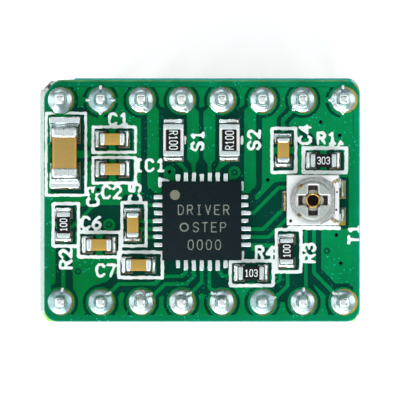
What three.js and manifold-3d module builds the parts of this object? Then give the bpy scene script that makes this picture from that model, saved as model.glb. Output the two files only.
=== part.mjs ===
// Stepper driver module: a small carrier board with a motor driver chip, its chip capacitors and
// resistors, a current-setting trimmer that turns, and two rows of header pins for a socket.
// Millimetres, +Z up. +X runs along the pin rows and +Y from row B to row A. The origin lies
// midway between the rows, level with the tips of the pins.

import * as THREE from "three";
import { mergeVertices } from "three/addons/utils/BufferGeometryUtils.js";
import Module from "manifold-3d";

const wasm = await Module();
wasm.setup();

// Clearance between pieces that are bonded or pressed together.
const FIT_GAP = 0.01;
// How far a cutting tool runs past the piece it cuts.
const OVERSHOOT = 1;
// Vertices closer than this are one vertex.
const MERGE_TOLERANCE = 1e-4;

// Header pins and housings, on the 0.1 inch grid.
const PITCH = 2.54;
const PINS_PER_ROW = 8;
const ROW_SPACING = 12.7;
const PIN_SIDE = 0.64;
const PIN_LENGTH = 11.6;
const PIN_TIP_SIDE = 0.34;
const PIN_TAPER = 0.5;
const HOUSING_BOTTOM = 6.06;
const HOUSING_HEIGHT = 2.54;
const HOUSING_LENGTH = 19.88;
const HOUSING_WIDTH = 2.44;
const HOUSING_NOTCH = 0.42;

// Circuit board.
const BOARD_BOTTOM = HOUSING_BOTTOM + HOUSING_HEIGHT;
const BOARD_THICKNESS = 1.6;
const BOARD_TOP = BOARD_BOTTOM + BOARD_THICKNESS;
const BOARD_LEFT_X = -10.18;
const BOARD_RIGHT_X = 9.94;
const BOARD_FRONT_Y = -7.58;
const BOARD_BACK_Y = 7.74;
const BOARD_CORNER_RADIUS = 0.8;
// Slanted front corners, and the back left corner, where the snapped edge ends in a step and
// the laminate is broken off. Anticlockwise, seen from above.
const FRONT_CORNERS = [
  [BOARD_LEFT_X, -6.95],
  [-10.0, -7.1],
  [-9.72, BOARD_FRONT_Y],
  [9.58, BOARD_FRONT_Y],
  [9.76, -7.28],
  [BOARD_RIGHT_X, -6.9],
];
const BROKEN_CORNER = [
  [-8.05, BOARD_BACK_Y],
  [-8.05, 7.66],
  [-9.05, 7.62],
  [-9.52, 7.44],
  [-9.9, 7.04],
  [BOARD_LEFT_X, 7.0],
];
const PIN_HOLE_RADIUS = 0.5;
const VIA_RADIUS = 0.14;
const VIA_SIDES = 8;
const VIAS = [
  [-2.03, 1.83],
  [4.15, 1.34],
  [7.47, 4.98],
  [-6.52, 0.72],
  [8.74, -3.9],
  [8.46, -2.12],
  [8.67, 4.13],
];

// Solder joints around the pins: radius and height above the board, from the rim upwards.
const SOLDER_HEIGHT = 0.86;
const SOLDER_FILLET = [
  [0.79, FIT_GAP],
  [0.76, 0.15],
  [0.64, 0.47],
  [0.54, 0.74],
  [0.5, SOLDER_HEIGHT],
];
const SOLDER_SIDES = 16;

// Driver chip, a square leadless package with a metal pad in its underside.
const DRIVER_CENTRE_Y = -1.24;
const DRIVER_SIDE = 4.96;
const DRIVER_STANDOFF = 0.03;
const DRIVER_HEIGHT = 0.87;
const DRIVER_EDGE = 0.04;
const THERMAL_PAD_SIDE = 3.1;
const THERMAL_PAD_HEIGHT = 0.2;

// Chip capacitors and resistors: length, width, height and length of each metal end.
const CHIP_STANDOFF = 0.03;
const CHIP_STEP = 0.03;
const CHIP_BEVEL = 0.05;
const BULK_CAPACITOR = { length: 3.2, width: 1.6, height: 1.6, end: 0.5, body: "capacitorBody" };
const CAPACITOR = { length: 1.6, width: 0.8, height: 0.8, end: 0.32, body: "capacitorBody" };
const RESISTOR = { length: 1.6, width: 0.82, height: 0.45, end: 0.3, body: "resistorBody" };
const SENSE_RESISTOR = { length: 2.03, width: 1.27, height: 0.55, end: 0.38, body: "resistorBody" };
const ALONG_X = 0;
const ALONG_Y = Math.PI / 2;
const CHIPS = [
  { name: "bulk_capacitor", size: BULK_CAPACITOR, x: -8.6, y: 3.02, turn: ALONG_Y },
  { name: "capacitor_c1", size: CAPACITOR, x: -5.62, y: 3.88, turn: ALONG_X },
  { name: "capacitor_c2", size: CAPACITOR, x: -5.6, y: 2.0, turn: ALONG_X },
  { name: "capacitor_c4", size: CAPACITOR, x: 5.12, y: 3.2, turn: ALONG_Y },
  { name: "capacitor_c5", size: CAPACITOR, x: -4.33, y: -1.5, turn: ALONG_Y },
  { name: "capacitor_c6", size: CAPACITOR, x: -6.45, y: -2.75, turn: ALONG_X },
  { name: "capacitor_c7", size: CAPACITOR, x: -3.96, y: -4.02, turn: ALONG_X },
  { name: "resistor_r1", size: RESISTOR, x: 7.64, y: 2.54, turn: ALONG_X },
  { name: "resistor_r2", size: RESISTOR, x: -8.68, y: -1.5, turn: ALONG_Y },
  { name: "resistor_r3", size: RESISTOR, x: 5.33, y: -3.14, turn: ALONG_Y },
  { name: "resistor_r4", size: RESISTOR, x: 3.1, y: -4.52, turn: ALONG_X },
  { name: "sense_resistor_s1", size: SENSE_RESISTOR, x: -1.78, y: 3.82, turn: ALONG_Y },
  { name: "sense_resistor_s2", size: SENSE_RESISTOR, x: 1.74, y: 3.82, turn: ALONG_Y },
];

// Trimmer, an open-frame type on a ceramic base. Lengths are from its own axis, heights from
// the board's top.
const TRIMMER_X = 6.97;
const TRIMMER_Y = 0.04;
const TRIMMER_BASE_LEFT = -1.64;
const TRIMMER_BASE_RIGHT = 1.65;
const TRIMMER_BASE_FRONT = -1.56;
const TRIMMER_BASE_BACK = 1.6;
const TRIMMER_BASE_BOTTOM = 0.12;
const TRIMMER_BASE_TOP = 0.75;
const TRIMMER_BASE_BEVEL = 0.05;
const TRACK_INNER_RADIUS = 0.82;
const TRACK_OUTER_RADIUS = 1.24;
const TRACK_THICKNESS = 0.03;
const TRACK_HALF_SWEEP = THREE.MathUtils.degToRad(145);
const EYELET_HOLE_RADIUS = 0.33;
const EYELET_RADIUS = 0.4;
const EYELET_FLANGE_RADIUS = 0.47;
const EYELET_FLANGE_BOTTOM = 0.93;
const EYELET_FLANGE_RISE = 0.02;
const EYELET_FLANGE_BEVEL = 0.03;
const EYELET_TOP = 1.0;
const WIPER_BOTTOM = 0.82;
const WIPER_THICKNESS = 0.08;
const WIPER_BORE_RADIUS = 0.44;
const WIPER_RADIUS = 0.68;
const WIPER_ARM_REACH = 1.15;
const WIPER_ARM_WIDTH = 0.3;
const ROTOR_RADIUS = 1.45;
const ROTOR_BOTTOM = 0.92;
const ROTOR_RIM_TOP = 1.05;
const ROTOR_TOP = 1.22;
const ROTOR_SHOULDER_RADIUS = 1.3;
const ROTOR_SHOULDER_TOP = 1.08;
const ROTOR_CROWN_RADIUS = 1.12;
const ROTOR_FLAT_X = 1.32;
const CROSS_HALF_WIDTH = 0.29;
const CROSS_REACH = 0.93;
const CROSS_CENTRE_RADIUS = 0.55;
const TERMINAL_SHEET = 0.1;
const WIPER_TERMINAL_WIDTH = 1.2;
const WIPER_TERMINAL_LEFT = -1.84;
const WIPER_TERMINAL_RIGHT = 0.62;
const WIPER_TERMINAL_TOP = 0.58;
const END_TERMINAL_Y = 1.1;
const END_TERMINAL_WIDTH = 0.56;
const END_TERMINAL_TAB = 0.42;
const TRIMMER_SEGMENTS = 32;

const MATERIALS = {
  board: { color: 0x047a45, roughness: 0.35, metalness: 0.0 },
  housing: { color: 0x16171a, roughness: 0.6, metalness: 0.0 },
  pin: { color: 0xcfd0c8, roughness: 0.28, metalness: 0.9 },
  solder: { color: 0xc9cccb, roughness: 0.25, metalness: 0.9 },
  driverBody: { color: 0x1c2328, roughness: 0.55, metalness: 0.0 },
  thermalPad: { color: 0xc4c6c4, roughness: 0.4, metalness: 0.85 },
  capacitorBody: { color: 0xb49a5c, roughness: 0.55, metalness: 0.0 },
  resistorBody: { color: 0x15151b, roughness: 0.4, metalness: 0.0 },
  ceramic: { color: 0xf2f2ee, roughness: 0.6, metalness: 0.0 },
  track: { color: 0x17181a, roughness: 0.7, metalness: 0.0 },
  rotor: { color: 0xa9aaa8, roughness: 0.38, metalness: 0.85 },
  eyelet: { color: 0xc8963c, roughness: 0.3, metalness: 0.9 },
};
for (const key of Object.keys(MATERIALS)) {
  MATERIALS[key] = new THREE.MeshStandardMaterial(MATERIALS[key]);
}

// ---------------------------------------------------------------- geometry helpers

function toSolid(geometry) {
  const bare = geometry.clone();
  bare.deleteAttribute("normal");
  bare.deleteAttribute("uv");
  const merged = mergeVertices(bare, MERGE_TOLERANCE);
  return new wasm.Manifold(
    new wasm.Mesh({
      numProp: 3,
      vertProperties: merged.attributes.position.array,
      triVerts: new Uint32Array(merged.index.array),
    }),
  );
}

function toGeometry(solid) {
  const mesh = solid.getMesh();
  const indexed = new THREE.BufferGeometry();
  indexed.setAttribute("position", new THREE.BufferAttribute(mesh.vertProperties, mesh.numProp));
  indexed.setIndex(new THREE.BufferAttribute(mesh.triVerts, 1));
  const geometry = indexed.toNonIndexed();
  geometry.computeVertexNormals();
  return geometry;
}

function cut(geometry, tools) {
  let solid = toSolid(geometry);
  for (const tool of tools) solid = solid.subtract(toSolid(tool));
  return toGeometry(solid);
}

function fuse(geometries) {
  let solid = toSolid(geometries[0]);
  for (const other of geometries.slice(1)) solid = solid.add(toSolid(other));
  return toGeometry(solid);
}

function box(x0, x1, y0, y1, z0, z1) {
  const geometry = new THREE.BoxGeometry(x1 - x0, y1 - y0, z1 - z0);
  return geometry.translate((x0 + x1) / 2, (y0 + y1) / 2, (z0 + z1) / 2);
}

// A plan shape raised from one height to another. Circles get twice curveSegments sides.
function plate(shape, bottom, top, curveSegments = 8) {
  const geometry = new THREE.ExtrudeGeometry(shape, {
    depth: top - bottom,
    bevelEnabled: false,
    curveSegments,
  });
  return geometry.translate(0, 0, bottom);
}

// A profile of [radius, height] points turned about the vertical axis, drawn from the bottom up.
function turned(profile, segments) {
  const points = profile.map(([radius, height]) => new THREE.Vector2(radius, height));
  return new THREE.LatheGeometry(points, segments).rotateX(Math.PI / 2);
}

function rod(radius, bottom, top, segments = TRIMMER_SEGMENTS) {
  return turned([[0, bottom], [radius, bottom], [radius, top], [0, top]], segments);
}

// A block along X with every edge bevelled, centred on the origin.
function bevelledBlock(length, width, height, bevel) {
  const halfWidth = width / 2 - bevel;
  const halfHeight = height / 2 - bevel;
  const shape = new THREE.Shape();
  shape.moveTo(-halfHeight, -halfWidth);
  shape.lineTo(halfHeight, -halfWidth);
  shape.lineTo(halfHeight, halfWidth);
  shape.lineTo(-halfHeight, halfWidth);
  shape.closePath();
  const geometry = new THREE.ExtrudeGeometry(shape, {
    depth: length - 2 * bevel,
    bevelThickness: bevel,
    bevelSize: bevel,
    bevelSegments: 1,
  });
  return geometry.translate(0, 0, bevel - length / 2).rotateY(Math.PI / 2);
}

// A sheet-metal profile of [x, z] points, drawn anticlockwise and extruded along Y.
function folded(profile, yFront, yBack) {
  const shape = new THREE.Shape(profile.map(([x, z]) => new THREE.Vector2(x, z)));
  const geometry = new THREE.ExtrudeGeometry(shape, { depth: yBack - yFront, bevelEnabled: false });
  return geometry.rotateX(Math.PI / 2).translate(0, yBack, 0);
}

function pinX(column) {
  return (column - (PINS_PER_ROW - 1) / 2) * PITCH;
}

// ---------------------------------------------------------------- board, headers and solder

function boardOutline() {
  const shape = new THREE.Shape(FRONT_CORNERS.map(([x, y]) => new THREE.Vector2(x, y)));
  const cornerX = BOARD_RIGHT_X - BOARD_CORNER_RADIUS;
  const cornerY = BOARD_BACK_Y - BOARD_CORNER_RADIUS;
  shape.lineTo(BOARD_RIGHT_X, cornerY);
  shape.absarc(cornerX, cornerY, BOARD_CORNER_RADIUS, 0, Math.PI / 2, false);
  for (const [x, y] of BROKEN_CORNER) shape.lineTo(x, y);
  shape.closePath();
  return shape;
}

function circuitBoard() {
  const shape = boardOutline();
  for (const rowY of [ROW_SPACING / 2, -ROW_SPACING / 2]) {
    for (let column = 0; column < PINS_PER_ROW; column++) {
      const hole = new THREE.Path();
      hole.absarc(pinX(column), rowY, PIN_HOLE_RADIUS, 0, 2 * Math.PI, true);
      shape.holes.push(hole);
    }
  }
  const board = plate(shape, BOARD_BOTTOM, BOARD_TOP);
  const drills = VIAS.map(([x, y]) => {
    const drill = rod(VIA_RADIUS, BOARD_BOTTOM - OVERSHOOT, BOARD_TOP + OVERSHOOT, VIA_SIDES);
    return drill.translate(x, y, 0);
  });
  return cut(board, drills);
}

// One cell of insulator per pin, with a notch between cells, moulded as one strip.
function headerHousing() {
  const halfLength = HOUSING_LENGTH / 2;
  const halfWidth = HOUSING_WIDTH / 2;
  const waist = halfWidth - HOUSING_NOTCH;
  const nearSide = [[-halfLength, -waist], [-halfLength + HOUSING_NOTCH, -halfWidth]];
  for (let column = 0; column < PINS_PER_ROW - 1; column++) {
    const seam = pinX(column) + PITCH / 2;
    nearSide.push([seam - HOUSING_NOTCH, -halfWidth], [seam, -waist], [seam + HOUSING_NOTCH, -halfWidth]);
  }
  nearSide.push([halfLength - HOUSING_NOTCH, -halfWidth], [halfLength, -waist]);
  const farSide = nearSide.map(([x, y]) => [-x, -y]);
  const shape = new THREE.Shape([...nearSide, ...farSide].map(([x, y]) => new THREE.Vector2(x, y)));
  const half = PIN_SIDE / 2 + FIT_GAP;
  const pinSpaces = [];
  for (let column = 0; column < PINS_PER_ROW; column++) {
    const x = pinX(column);
    const below = HOUSING_BOTTOM - OVERSHOOT;
    pinSpaces.push(box(x - half, x + half, -half, half, below, BOARD_BOTTOM + OVERSHOOT));
  }
  return cut(plate(shape, HOUSING_BOTTOM, BOARD_BOTTOM - FIT_GAP), pinSpaces);
}

// A square pin is a turned shape with four sides.
function headerPin() {
  const body = PIN_SIDE / Math.SQRT2;
  const tip = PIN_TIP_SIDE / Math.SQRT2;
  const profile = [
    [0, 0],
    [tip, 0],
    [body, PIN_TAPER],
    [body, PIN_LENGTH - PIN_TAPER / 2],
    [tip, PIN_LENGTH],
    [0, PIN_LENGTH],
  ];
  return turned(profile, 4).rotateZ(Math.PI / 4);
}

// The fillet on top of the board and the plug that fills the plated hole are one piece.
function solderJoint() {
  const barrel = PIN_HOLE_RADIUS - FIT_GAP;
  const top = BOARD_TOP + SOLDER_HEIGHT;
  const profile = [
    [0, BOARD_BOTTOM + FIT_GAP],
    [barrel, BOARD_BOTTOM + FIT_GAP],
    [barrel, BOARD_TOP + FIT_GAP],
    ...SOLDER_FILLET.map(([radius, height]) => [radius, BOARD_TOP + height]),
    [0, top],
  ];
  const half = PIN_SIDE / 2 + FIT_GAP;
  const pinSpace = box(-half, half, -half, half, BOARD_BOTTOM - OVERSHOOT, top + OVERSHOOT);
  return cut(turned(profile, SOLDER_SIDES), [pinSpace]);
}

// ---------------------------------------------------------------- driver chip and chip parts

function driverBody() {
  const bottom = BOARD_TOP + DRIVER_STANDOFF;
  const body = bevelledBlock(DRIVER_SIDE, DRIVER_SIDE, DRIVER_HEIGHT, DRIVER_EDGE);
  body.translate(0, DRIVER_CENTRE_Y, bottom + DRIVER_HEIGHT / 2);
  const half = THERMAL_PAD_SIDE / 2 + FIT_GAP;
  const recessTop = bottom + THERMAL_PAD_HEIGHT + FIT_GAP;
  const recess = box(-half, half, DRIVER_CENTRE_Y - half, DRIVER_CENTRE_Y + half, BOARD_TOP, recessTop);
  return cut(body, [recess]);
}

function thermalPad() {
  const half = THERMAL_PAD_SIDE / 2;
  const bottom = BOARD_TOP + FIT_GAP;
  const top = BOARD_TOP + DRIVER_STANDOFF + THERMAL_PAD_HEIGHT;
  return box(-half, half, DRIVER_CENTRE_Y - half, DRIVER_CENTRE_Y + half, bottom, top);
}

// A fired chip: a body between two metal ends that stand a little proud of it all round.
function chip(size) {
  const core = box(
    -size.length / 2 + CHIP_BEVEL,
    size.length / 2 - CHIP_BEVEL,
    -size.width / 2 + CHIP_STEP,
    size.width / 2 - CHIP_STEP,
    -size.height / 2 + CHIP_STEP,
    size.height / 2 - CHIP_STEP,
  );
  const endX = (size.length - size.end) / 2;
  const leftEnd = bevelledBlock(size.end, size.width, size.height, CHIP_BEVEL).translate(-endX, 0, 0);
  const rightEnd = bevelledBlock(size.end, size.width, size.height, CHIP_BEVEL).translate(endX, 0, 0);
  return fuse([core, leftEnd, rightEnd]).translate(0, 0, size.height / 2);
}

// ---------------------------------------------------------------- trimmer, about its own axis

function trimmerBase() {
  const block = bevelledBlock(
    TRIMMER_BASE_RIGHT - TRIMMER_BASE_LEFT,
    TRIMMER_BASE_BACK - TRIMMER_BASE_FRONT,
    TRIMMER_BASE_TOP - TRIMMER_BASE_BOTTOM,
    TRIMMER_BASE_BEVEL,
  ).translate(
    (TRIMMER_BASE_LEFT + TRIMMER_BASE_RIGHT) / 2,
    (TRIMMER_BASE_FRONT + TRIMMER_BASE_BACK) / 2,
    (TRIMMER_BASE_TOP + TRIMMER_BASE_BOTTOM) / 2,
  );
  return cut(block, [rod(EYELET_RADIUS + FIT_GAP, 0, TRIMMER_BASE_TOP + OVERSHOOT)]);
}

// The printed resistance track, a ring left open where its two ends are contacted.
function trimmerTrack() {
  const shape = new THREE.Shape();
  const start = Math.PI - TRACK_HALF_SWEEP;
  const end = Math.PI + TRACK_HALF_SWEEP;
  shape.absarc(0, 0, TRACK_OUTER_RADIUS, start, end, false);
  shape.absarc(0, 0, TRACK_INNER_RADIUS, end, start, true);
  shape.closePath();
  const bottom = TRIMMER_BASE_TOP + FIT_GAP;
  return plate(shape, bottom, bottom + TRACK_THICKNESS, TRIMMER_SEGMENTS / 2);
}

// The hollow rivet that holds the wiper and its terminal to the base.
function trimmerEyelet() {
  const bottom = FIT_GAP;
  const profile = [
    [0, bottom],
    [EYELET_RADIUS, bottom],
    [EYELET_RADIUS, EYELET_FLANGE_BOTTOM],
    [EYELET_FLANGE_RADIUS, EYELET_FLANGE_BOTTOM + EYELET_FLANGE_RISE],
    [EYELET_FLANGE_RADIUS - EYELET_FLANGE_BEVEL, EYELET_TOP],
    [0, EYELET_TOP],
  ];
  const bore = rod(EYELET_HOLE_RADIUS, -OVERSHOOT, EYELET_TOP + OVERSHOOT);
  return cut(turned(profile, TRIMMER_SEGMENTS), [bore]);
}

// The contact spring: a washer round the rivet with an arm that reaches out over the track.
function trimmerWiper() {
  const top = WIPER_BOTTOM + WIPER_THICKNESS;
  const washer = rod(WIPER_RADIUS, WIPER_BOTTOM, top);
  const arm = box(0, WIPER_ARM_REACH, -WIPER_ARM_WIDTH / 2, WIPER_ARM_WIDTH / 2, WIPER_BOTTOM, top);
  const bore = rod(WIPER_BORE_RADIUS, WIPER_BOTTOM - OVERSHOOT, top + OVERSHOOT);
  return cut(fuse([washer, arm]), [bore]);
}

// The stamped disc a screwdriver turns, with a cross cut through it and one flat on its rim.
function trimmerRotor() {
  const disc = turned(
    [
      [0, ROTOR_BOTTOM],
      [ROTOR_RADIUS, ROTOR_BOTTOM],
      [ROTOR_RADIUS, ROTOR_RIM_TOP],
      [ROTOR_SHOULDER_RADIUS, ROTOR_SHOULDER_TOP],
      [ROTOR_CROWN_RADIUS, ROTOR_TOP],
      [0, ROTOR_TOP],
    ],
    TRIMMER_SEGMENTS,
  );
  const below = ROTOR_BOTTOM - OVERSHOOT;
  const above = ROTOR_TOP + OVERSHOOT;
  return cut(disc, [
    box(-CROSS_REACH, CROSS_REACH, -CROSS_HALF_WIDTH, CROSS_HALF_WIDTH, below, above),
    box(-CROSS_HALF_WIDTH, CROSS_HALF_WIDTH, -CROSS_REACH, CROSS_REACH, below, above),
    rod(CROSS_CENTRE_RADIUS, below, above),
    box(ROTOR_FLAT_X, ROTOR_RADIUS + OVERSHOOT, -ROTOR_RADIUS, ROTOR_RADIUS, below, above),
  ]);
}

// A strip under the base from the rivet to the left edge, where it turns up as a solder lug.
function wiperTerminal() {
  const left = WIPER_TERMINAL_LEFT;
  const bottom = FIT_GAP;
  const profile = [
    [left, bottom],
    [WIPER_TERMINAL_RIGHT, bottom],
    [WIPER_TERMINAL_RIGHT, bottom + TERMINAL_SHEET],
    [left + TERMINAL_SHEET, bottom + TERMINAL_SHEET],
    [left + TERMINAL_SHEET, WIPER_TERMINAL_TOP],
    [left, WIPER_TERMINAL_TOP],
  ];
  const strip = folded(profile, -WIPER_TERMINAL_WIDTH / 2, WIPER_TERMINAL_WIDTH / 2);
  return cut(strip, [rod(EYELET_RADIUS + FIT_GAP, -OVERSHOOT, OVERSHOOT)]);
}

// A clip folded round the right edge of the base, over one end of the track.
function endTerminal(centreY) {
  const inner = TRIMMER_BASE_RIGHT + FIT_GAP;
  const outer = inner + TERMINAL_SHEET;
  const tab = inner - END_TERMINAL_TAB;
  const lowTop = TRIMMER_BASE_BOTTOM - FIT_GAP;
  const highBottom = TRIMMER_BASE_TOP + FIT_GAP;
  const profile = [
    [tab, FIT_GAP],
    [outer, FIT_GAP],
    [outer, highBottom + TERMINAL_SHEET],
    [tab, highBottom + TERMINAL_SHEET],
    [tab, highBottom],
    [inner, highBottom],
    [inner, lowTop],
    [tab, lowTop],
  ];
  return folded(profile, centreY - END_TERMINAL_WIDTH / 2, centreY + END_TERMINAL_WIDTH / 2);
}

// ---------------------------------------------------------------- assembly

const root = new THREE.Group();
root.name = "stepper_driver_module";

function place(parent, name, geometry, material, x = 0, y = 0, z = 0) {
  const mesh = new THREE.Mesh(geometry, MATERIALS[material]);
  mesh.name = name;
  mesh.position.set(x, y, z);
  parent.add(mesh);
}

function addHeaderRow(letter, rowY) {
  place(root, `header_housing_${letter}`, headerHousing(), "housing", 0, rowY);
  for (let column = 0; column < PINS_PER_ROW; column++) {
    const label = `${letter}${column + 1}`;
    place(root, `pin_${label}`, headerPin(), "pin", pinX(column), rowY);
    place(root, `solder_${label}`, solderJoint(), "solder", pinX(column), rowY);
  }
}

function addChips() {
  for (const { name, size, x, y, turn } of CHIPS) {
    place(root, name, chip(size).rotateZ(turn), size.body, x, y, BOARD_TOP + CHIP_STANDOFF);
  }
}

function addTrimmer() {
  const trimmer = new THREE.Group();
  trimmer.position.set(TRIMMER_X, TRIMMER_Y, BOARD_TOP);
  place(trimmer, "trimmer_base", trimmerBase(), "ceramic");
  place(trimmer, "trimmer_track", trimmerTrack(), "track");
  place(trimmer, "trimmer_eyelet", trimmerEyelet(), "eyelet");
  place(trimmer, "trimmer_wiper", trimmerWiper(), "rotor");
  place(trimmer, "trimmer_rotor", trimmerRotor(), "rotor");
  place(trimmer, "trimmer_wiper_terminal", wiperTerminal(), "eyelet");
  place(trimmer, "trimmer_end_terminal_a", endTerminal(END_TERMINAL_Y), "eyelet");
  place(trimmer, "trimmer_end_terminal_b", endTerminal(-END_TERMINAL_Y), "eyelet");
  root.add(trimmer);
}

place(root, "circuit_board", circuitBoard(), "board");
addHeaderRow("a", ROW_SPACING / 2);
addHeaderRow("b", -ROW_SPACING / 2);
place(root, "driver_body", driverBody(), "driverBody");
place(root, "driver_thermal_pad", thermalPad(), "thermalPad");
addChips();
addTrimmer();

export default root;
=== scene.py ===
import math

import bmesh
import bpy
import numpy as np
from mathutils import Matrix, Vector, geometry


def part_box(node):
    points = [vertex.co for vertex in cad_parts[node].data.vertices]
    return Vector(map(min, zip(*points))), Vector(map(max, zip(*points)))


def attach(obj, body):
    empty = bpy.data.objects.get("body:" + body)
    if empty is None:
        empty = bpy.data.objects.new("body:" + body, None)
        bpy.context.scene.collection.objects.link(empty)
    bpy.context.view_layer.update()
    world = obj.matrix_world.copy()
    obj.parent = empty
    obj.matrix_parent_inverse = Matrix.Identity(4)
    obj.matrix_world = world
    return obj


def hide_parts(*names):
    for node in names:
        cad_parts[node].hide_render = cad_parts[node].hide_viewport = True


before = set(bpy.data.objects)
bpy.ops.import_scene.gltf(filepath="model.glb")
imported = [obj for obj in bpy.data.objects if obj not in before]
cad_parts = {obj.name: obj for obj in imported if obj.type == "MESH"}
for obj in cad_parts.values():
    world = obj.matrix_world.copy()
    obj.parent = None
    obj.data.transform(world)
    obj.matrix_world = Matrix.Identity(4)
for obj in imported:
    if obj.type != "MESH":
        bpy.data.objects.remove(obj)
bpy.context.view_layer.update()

# The looks of a stepper driver module round its CAD frame. Lengths are in millimetres until a
# mesh is made, and plan drawings (copper, mask, legend, pads, rotor) are signed distance maps.

MM = 0.001


def box_mm(node):
    low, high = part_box(node)
    return [c / MM for c in low], [c / MM for c in high]


def centre_mm(node):
    low, high = box_mm(node)
    return [(a + b) / 2 for a, b in zip(low, high)]


UNDER = box_mm("circuit_board")[0][2]
TOP = box_mm("circuit_board")[1][2]
ROWS = {"a": 1, "b": -1}
PIN_COUNT = 8
PINS = {f"{row}{i}": centre_mm(f"pin_{row}{i}") for row in ROWS for i in range(1, PIN_COUNT + 1)}
PITCH = PINS["a2"][0] - PINS["a1"][0]

# Layers on the board, as heights above its face.
MASK_HEIGHT = 0.012
COPPER_HEIGHT = 0.05
COPPER_RINGS = [(0, 0), (0.006, 0.6 * COPPER_HEIGHT), (0.035, COPPER_HEIGHT)]
LEGEND_HEIGHT = 0.075
PAD_HEIGHT = 0.045

# ------------------------------------------------------------------ materials


def feed(socket, value):
    """Gives a socket a plain value, or links another node's output to it."""
    if isinstance(value, bpy.types.NodeSocket):
        socket.id_data.links.new(value, socket)
    else:
        socket.default_value = (*value, 1) if socket.type == "RGBA" else value


def add_node(tree, kind, output, inputs, **settings):
    """Adds a node and returns one of its outputs."""
    made = tree.nodes.new(f"ShaderNode{kind}")
    for setting, value in settings.items():
        setattr(made, setting, value)
    for key, value in inputs.items():
        feed(made.inputs[key], value)
    return made.outputs[output]


def coordinate(tree, axis=None, system="Object"):
    """The place on the object, or one of its three numbers."""
    place = add_node(tree, "TexCoord", system, {})
    return place if axis is None else add_node(tree, "SeparateXYZ", axis, {0: place})


def noise(tree, scale, detail=3.0, roughness=0.55, distortion=0.0, stretch=(1, 1, 1)):
    place = add_node(tree, "Mapping", "Vector", {"Vector": coordinate(tree), "Scale": stretch})
    return add_node(tree, "TexNoise", "Fac", {
        "Vector": place, "Scale": scale, "Detail": detail, "Roughness": roughness, "Distortion": distortion,
    })


def ramp(tree, factor, *stops):
    """Colours along a factor. A colour that is one number is a grey."""
    made = add_node(tree, "ValToRGB", "Color", {"Fac": factor})
    elements = made.node.color_ramp.elements
    while len(elements) < len(stops):
        elements.new(0.5)
    for element, (position, colour) in zip(elements, stops):
        element.position = position
        element.color = (*(colour if isinstance(colour, tuple) else [colour] * 3), 1)
    return made


def mix(tree, factor, first, second, blend="MIX"):
    return add_node(tree, "Mix", 2, {0: factor, 6: first, 7: second}, data_type="RGBA", blend_type=blend)


def times(tree, first, second):
    return mix(tree, 1.0, first, second, "MULTIPLY")


def remap(tree, value, start, end, low=0.0, high=1.0):
    limits = {"From Min": start, "From Max": end, "To Min": low, "To Max": high}
    return add_node(tree, "MapRange", "Result", {"Value": value, **limits})


def spread(tree, pattern, low, high):
    """Stretches a noise pattern, which keeps near its middle, over a range."""
    return remap(tree, pattern, 0.3, 0.7, low, high)


def new_tree(name):
    material = bpy.data.materials.new(name)
    material.use_nodes = True
    return material, material.node_tree


def finished(material, colour, roughness, relief, relief_mm, **others):
    """Feeds a material's shader. The others are its further inputs, with _ for a space."""
    tree = material.node_tree
    shader = tree.nodes["Principled BSDF"]
    inputs = {"Base Color": colour, "Roughness": roughness}
    inputs.update((key.replace("_", " "), value) for key, value in others.items())
    if relief_mm:
        inputs["Normal"] = add_node(tree, "Bump", "Normal", {"Height": relief, "Distance": relief_mm * MM})
    for key, value in inputs.items():
        feed(shader.inputs[key], value)
    return material


def plain_surface(name, dark, light, grain_mm, rough, metallic=0.0, relief_mm=0.0, specular=0.5,
                  stretch=(1, 1, 1)):
    """Two tones mixed by grain of a given size, with matching roughness and relief."""
    material, tree = new_tree(name)
    grain = noise(tree, 1 / (grain_mm * MM), 4.0, stretch=stretch)
    cloud = noise(tree, 1 / (12 * grain_mm * MM), 2.0)
    tone = times(tree, ramp(tree, grain, (0.3, dark), (0.7, light)), ramp(tree, cloud, (0.3, 0.9), (0.7, 1)))
    return finished(material, tone, spread(tree, cloud, *rough), grain, relief_mm, Metallic=metallic,
                    Specular_IOR_Level=specular)


def mask_material(name, left, right, speck):
    """Cured solder mask: clouded green lacquer with orange-peel relief and patches of tiny specks. Its colour
    runs a little brighter towards the right end of the board, which is painted light."""
    material, tree = new_tree(name)
    cloud = noise(tree, 700, 3.0, 0.6)
    grain = noise(tree, 9000, 3.0, 0.6)
    # Painted light: the tone grows brighter from the left colour to the right one along the board.
    tone = mix(tree, remap(tree, coordinate(tree, "X"), -10 * MM, 10 * MM), left, right)
    tone = times(tree, tone, ramp(tree, cloud, (0.32, (0.8, 0.85, 0.8)), (0.68, 1)))
    tone = times(tree, tone, ramp(tree, grain, (0.3, 0.86), (0.7, 1)))
    cells = add_node(tree, "TexVoronoi", "Distance", {"Vector": coordinate(tree), "Scale": 4300})
    patches = ramp(tree, noise(tree, 420, 2.0), (0.47, 0), (0.55, 1))
    specks = times(tree, ramp(tree, cells, (0.10, 1), (0.22, 0)), patches)
    return finished(material, mix(tree, specks, tone, speck), spread(tree, grain, 0.26, 0.38), grain, 0.006,
                    Specular_IOR_Level=0.025)


def laminate_material():
    """Sawn glass laminate: layered pale resin with brown fibre ends."""
    material, tree = new_tree("glass_laminate")
    layers = noise(tree, 900, 3.0, 0.6, stretch=(0.35, 0.35, 14))
    fibres = noise(tree, 5200, 3.0, 0.7, stretch=(1, 1, 0.35))
    tone = ramp(tree, layers, (0.3, (0.40, 0.49, 0.42)), (0.55, (0.58, 0.67, 0.67)),
                (0.8, (0.48, 0.46, 0.36)))
    ends = ramp(tree, fibres, (0.62, 1), (0.74, (0.52, 0.42, 0.30)))
    return finished(material, times(tree, tone, ends), spread(tree, fibres, 0.55, 0.8), fibres, 0.02,
                    Subsurface_Weight=0.15, Subsurface_Radius=(0.0004, 0.0005, 0.0003))


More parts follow.
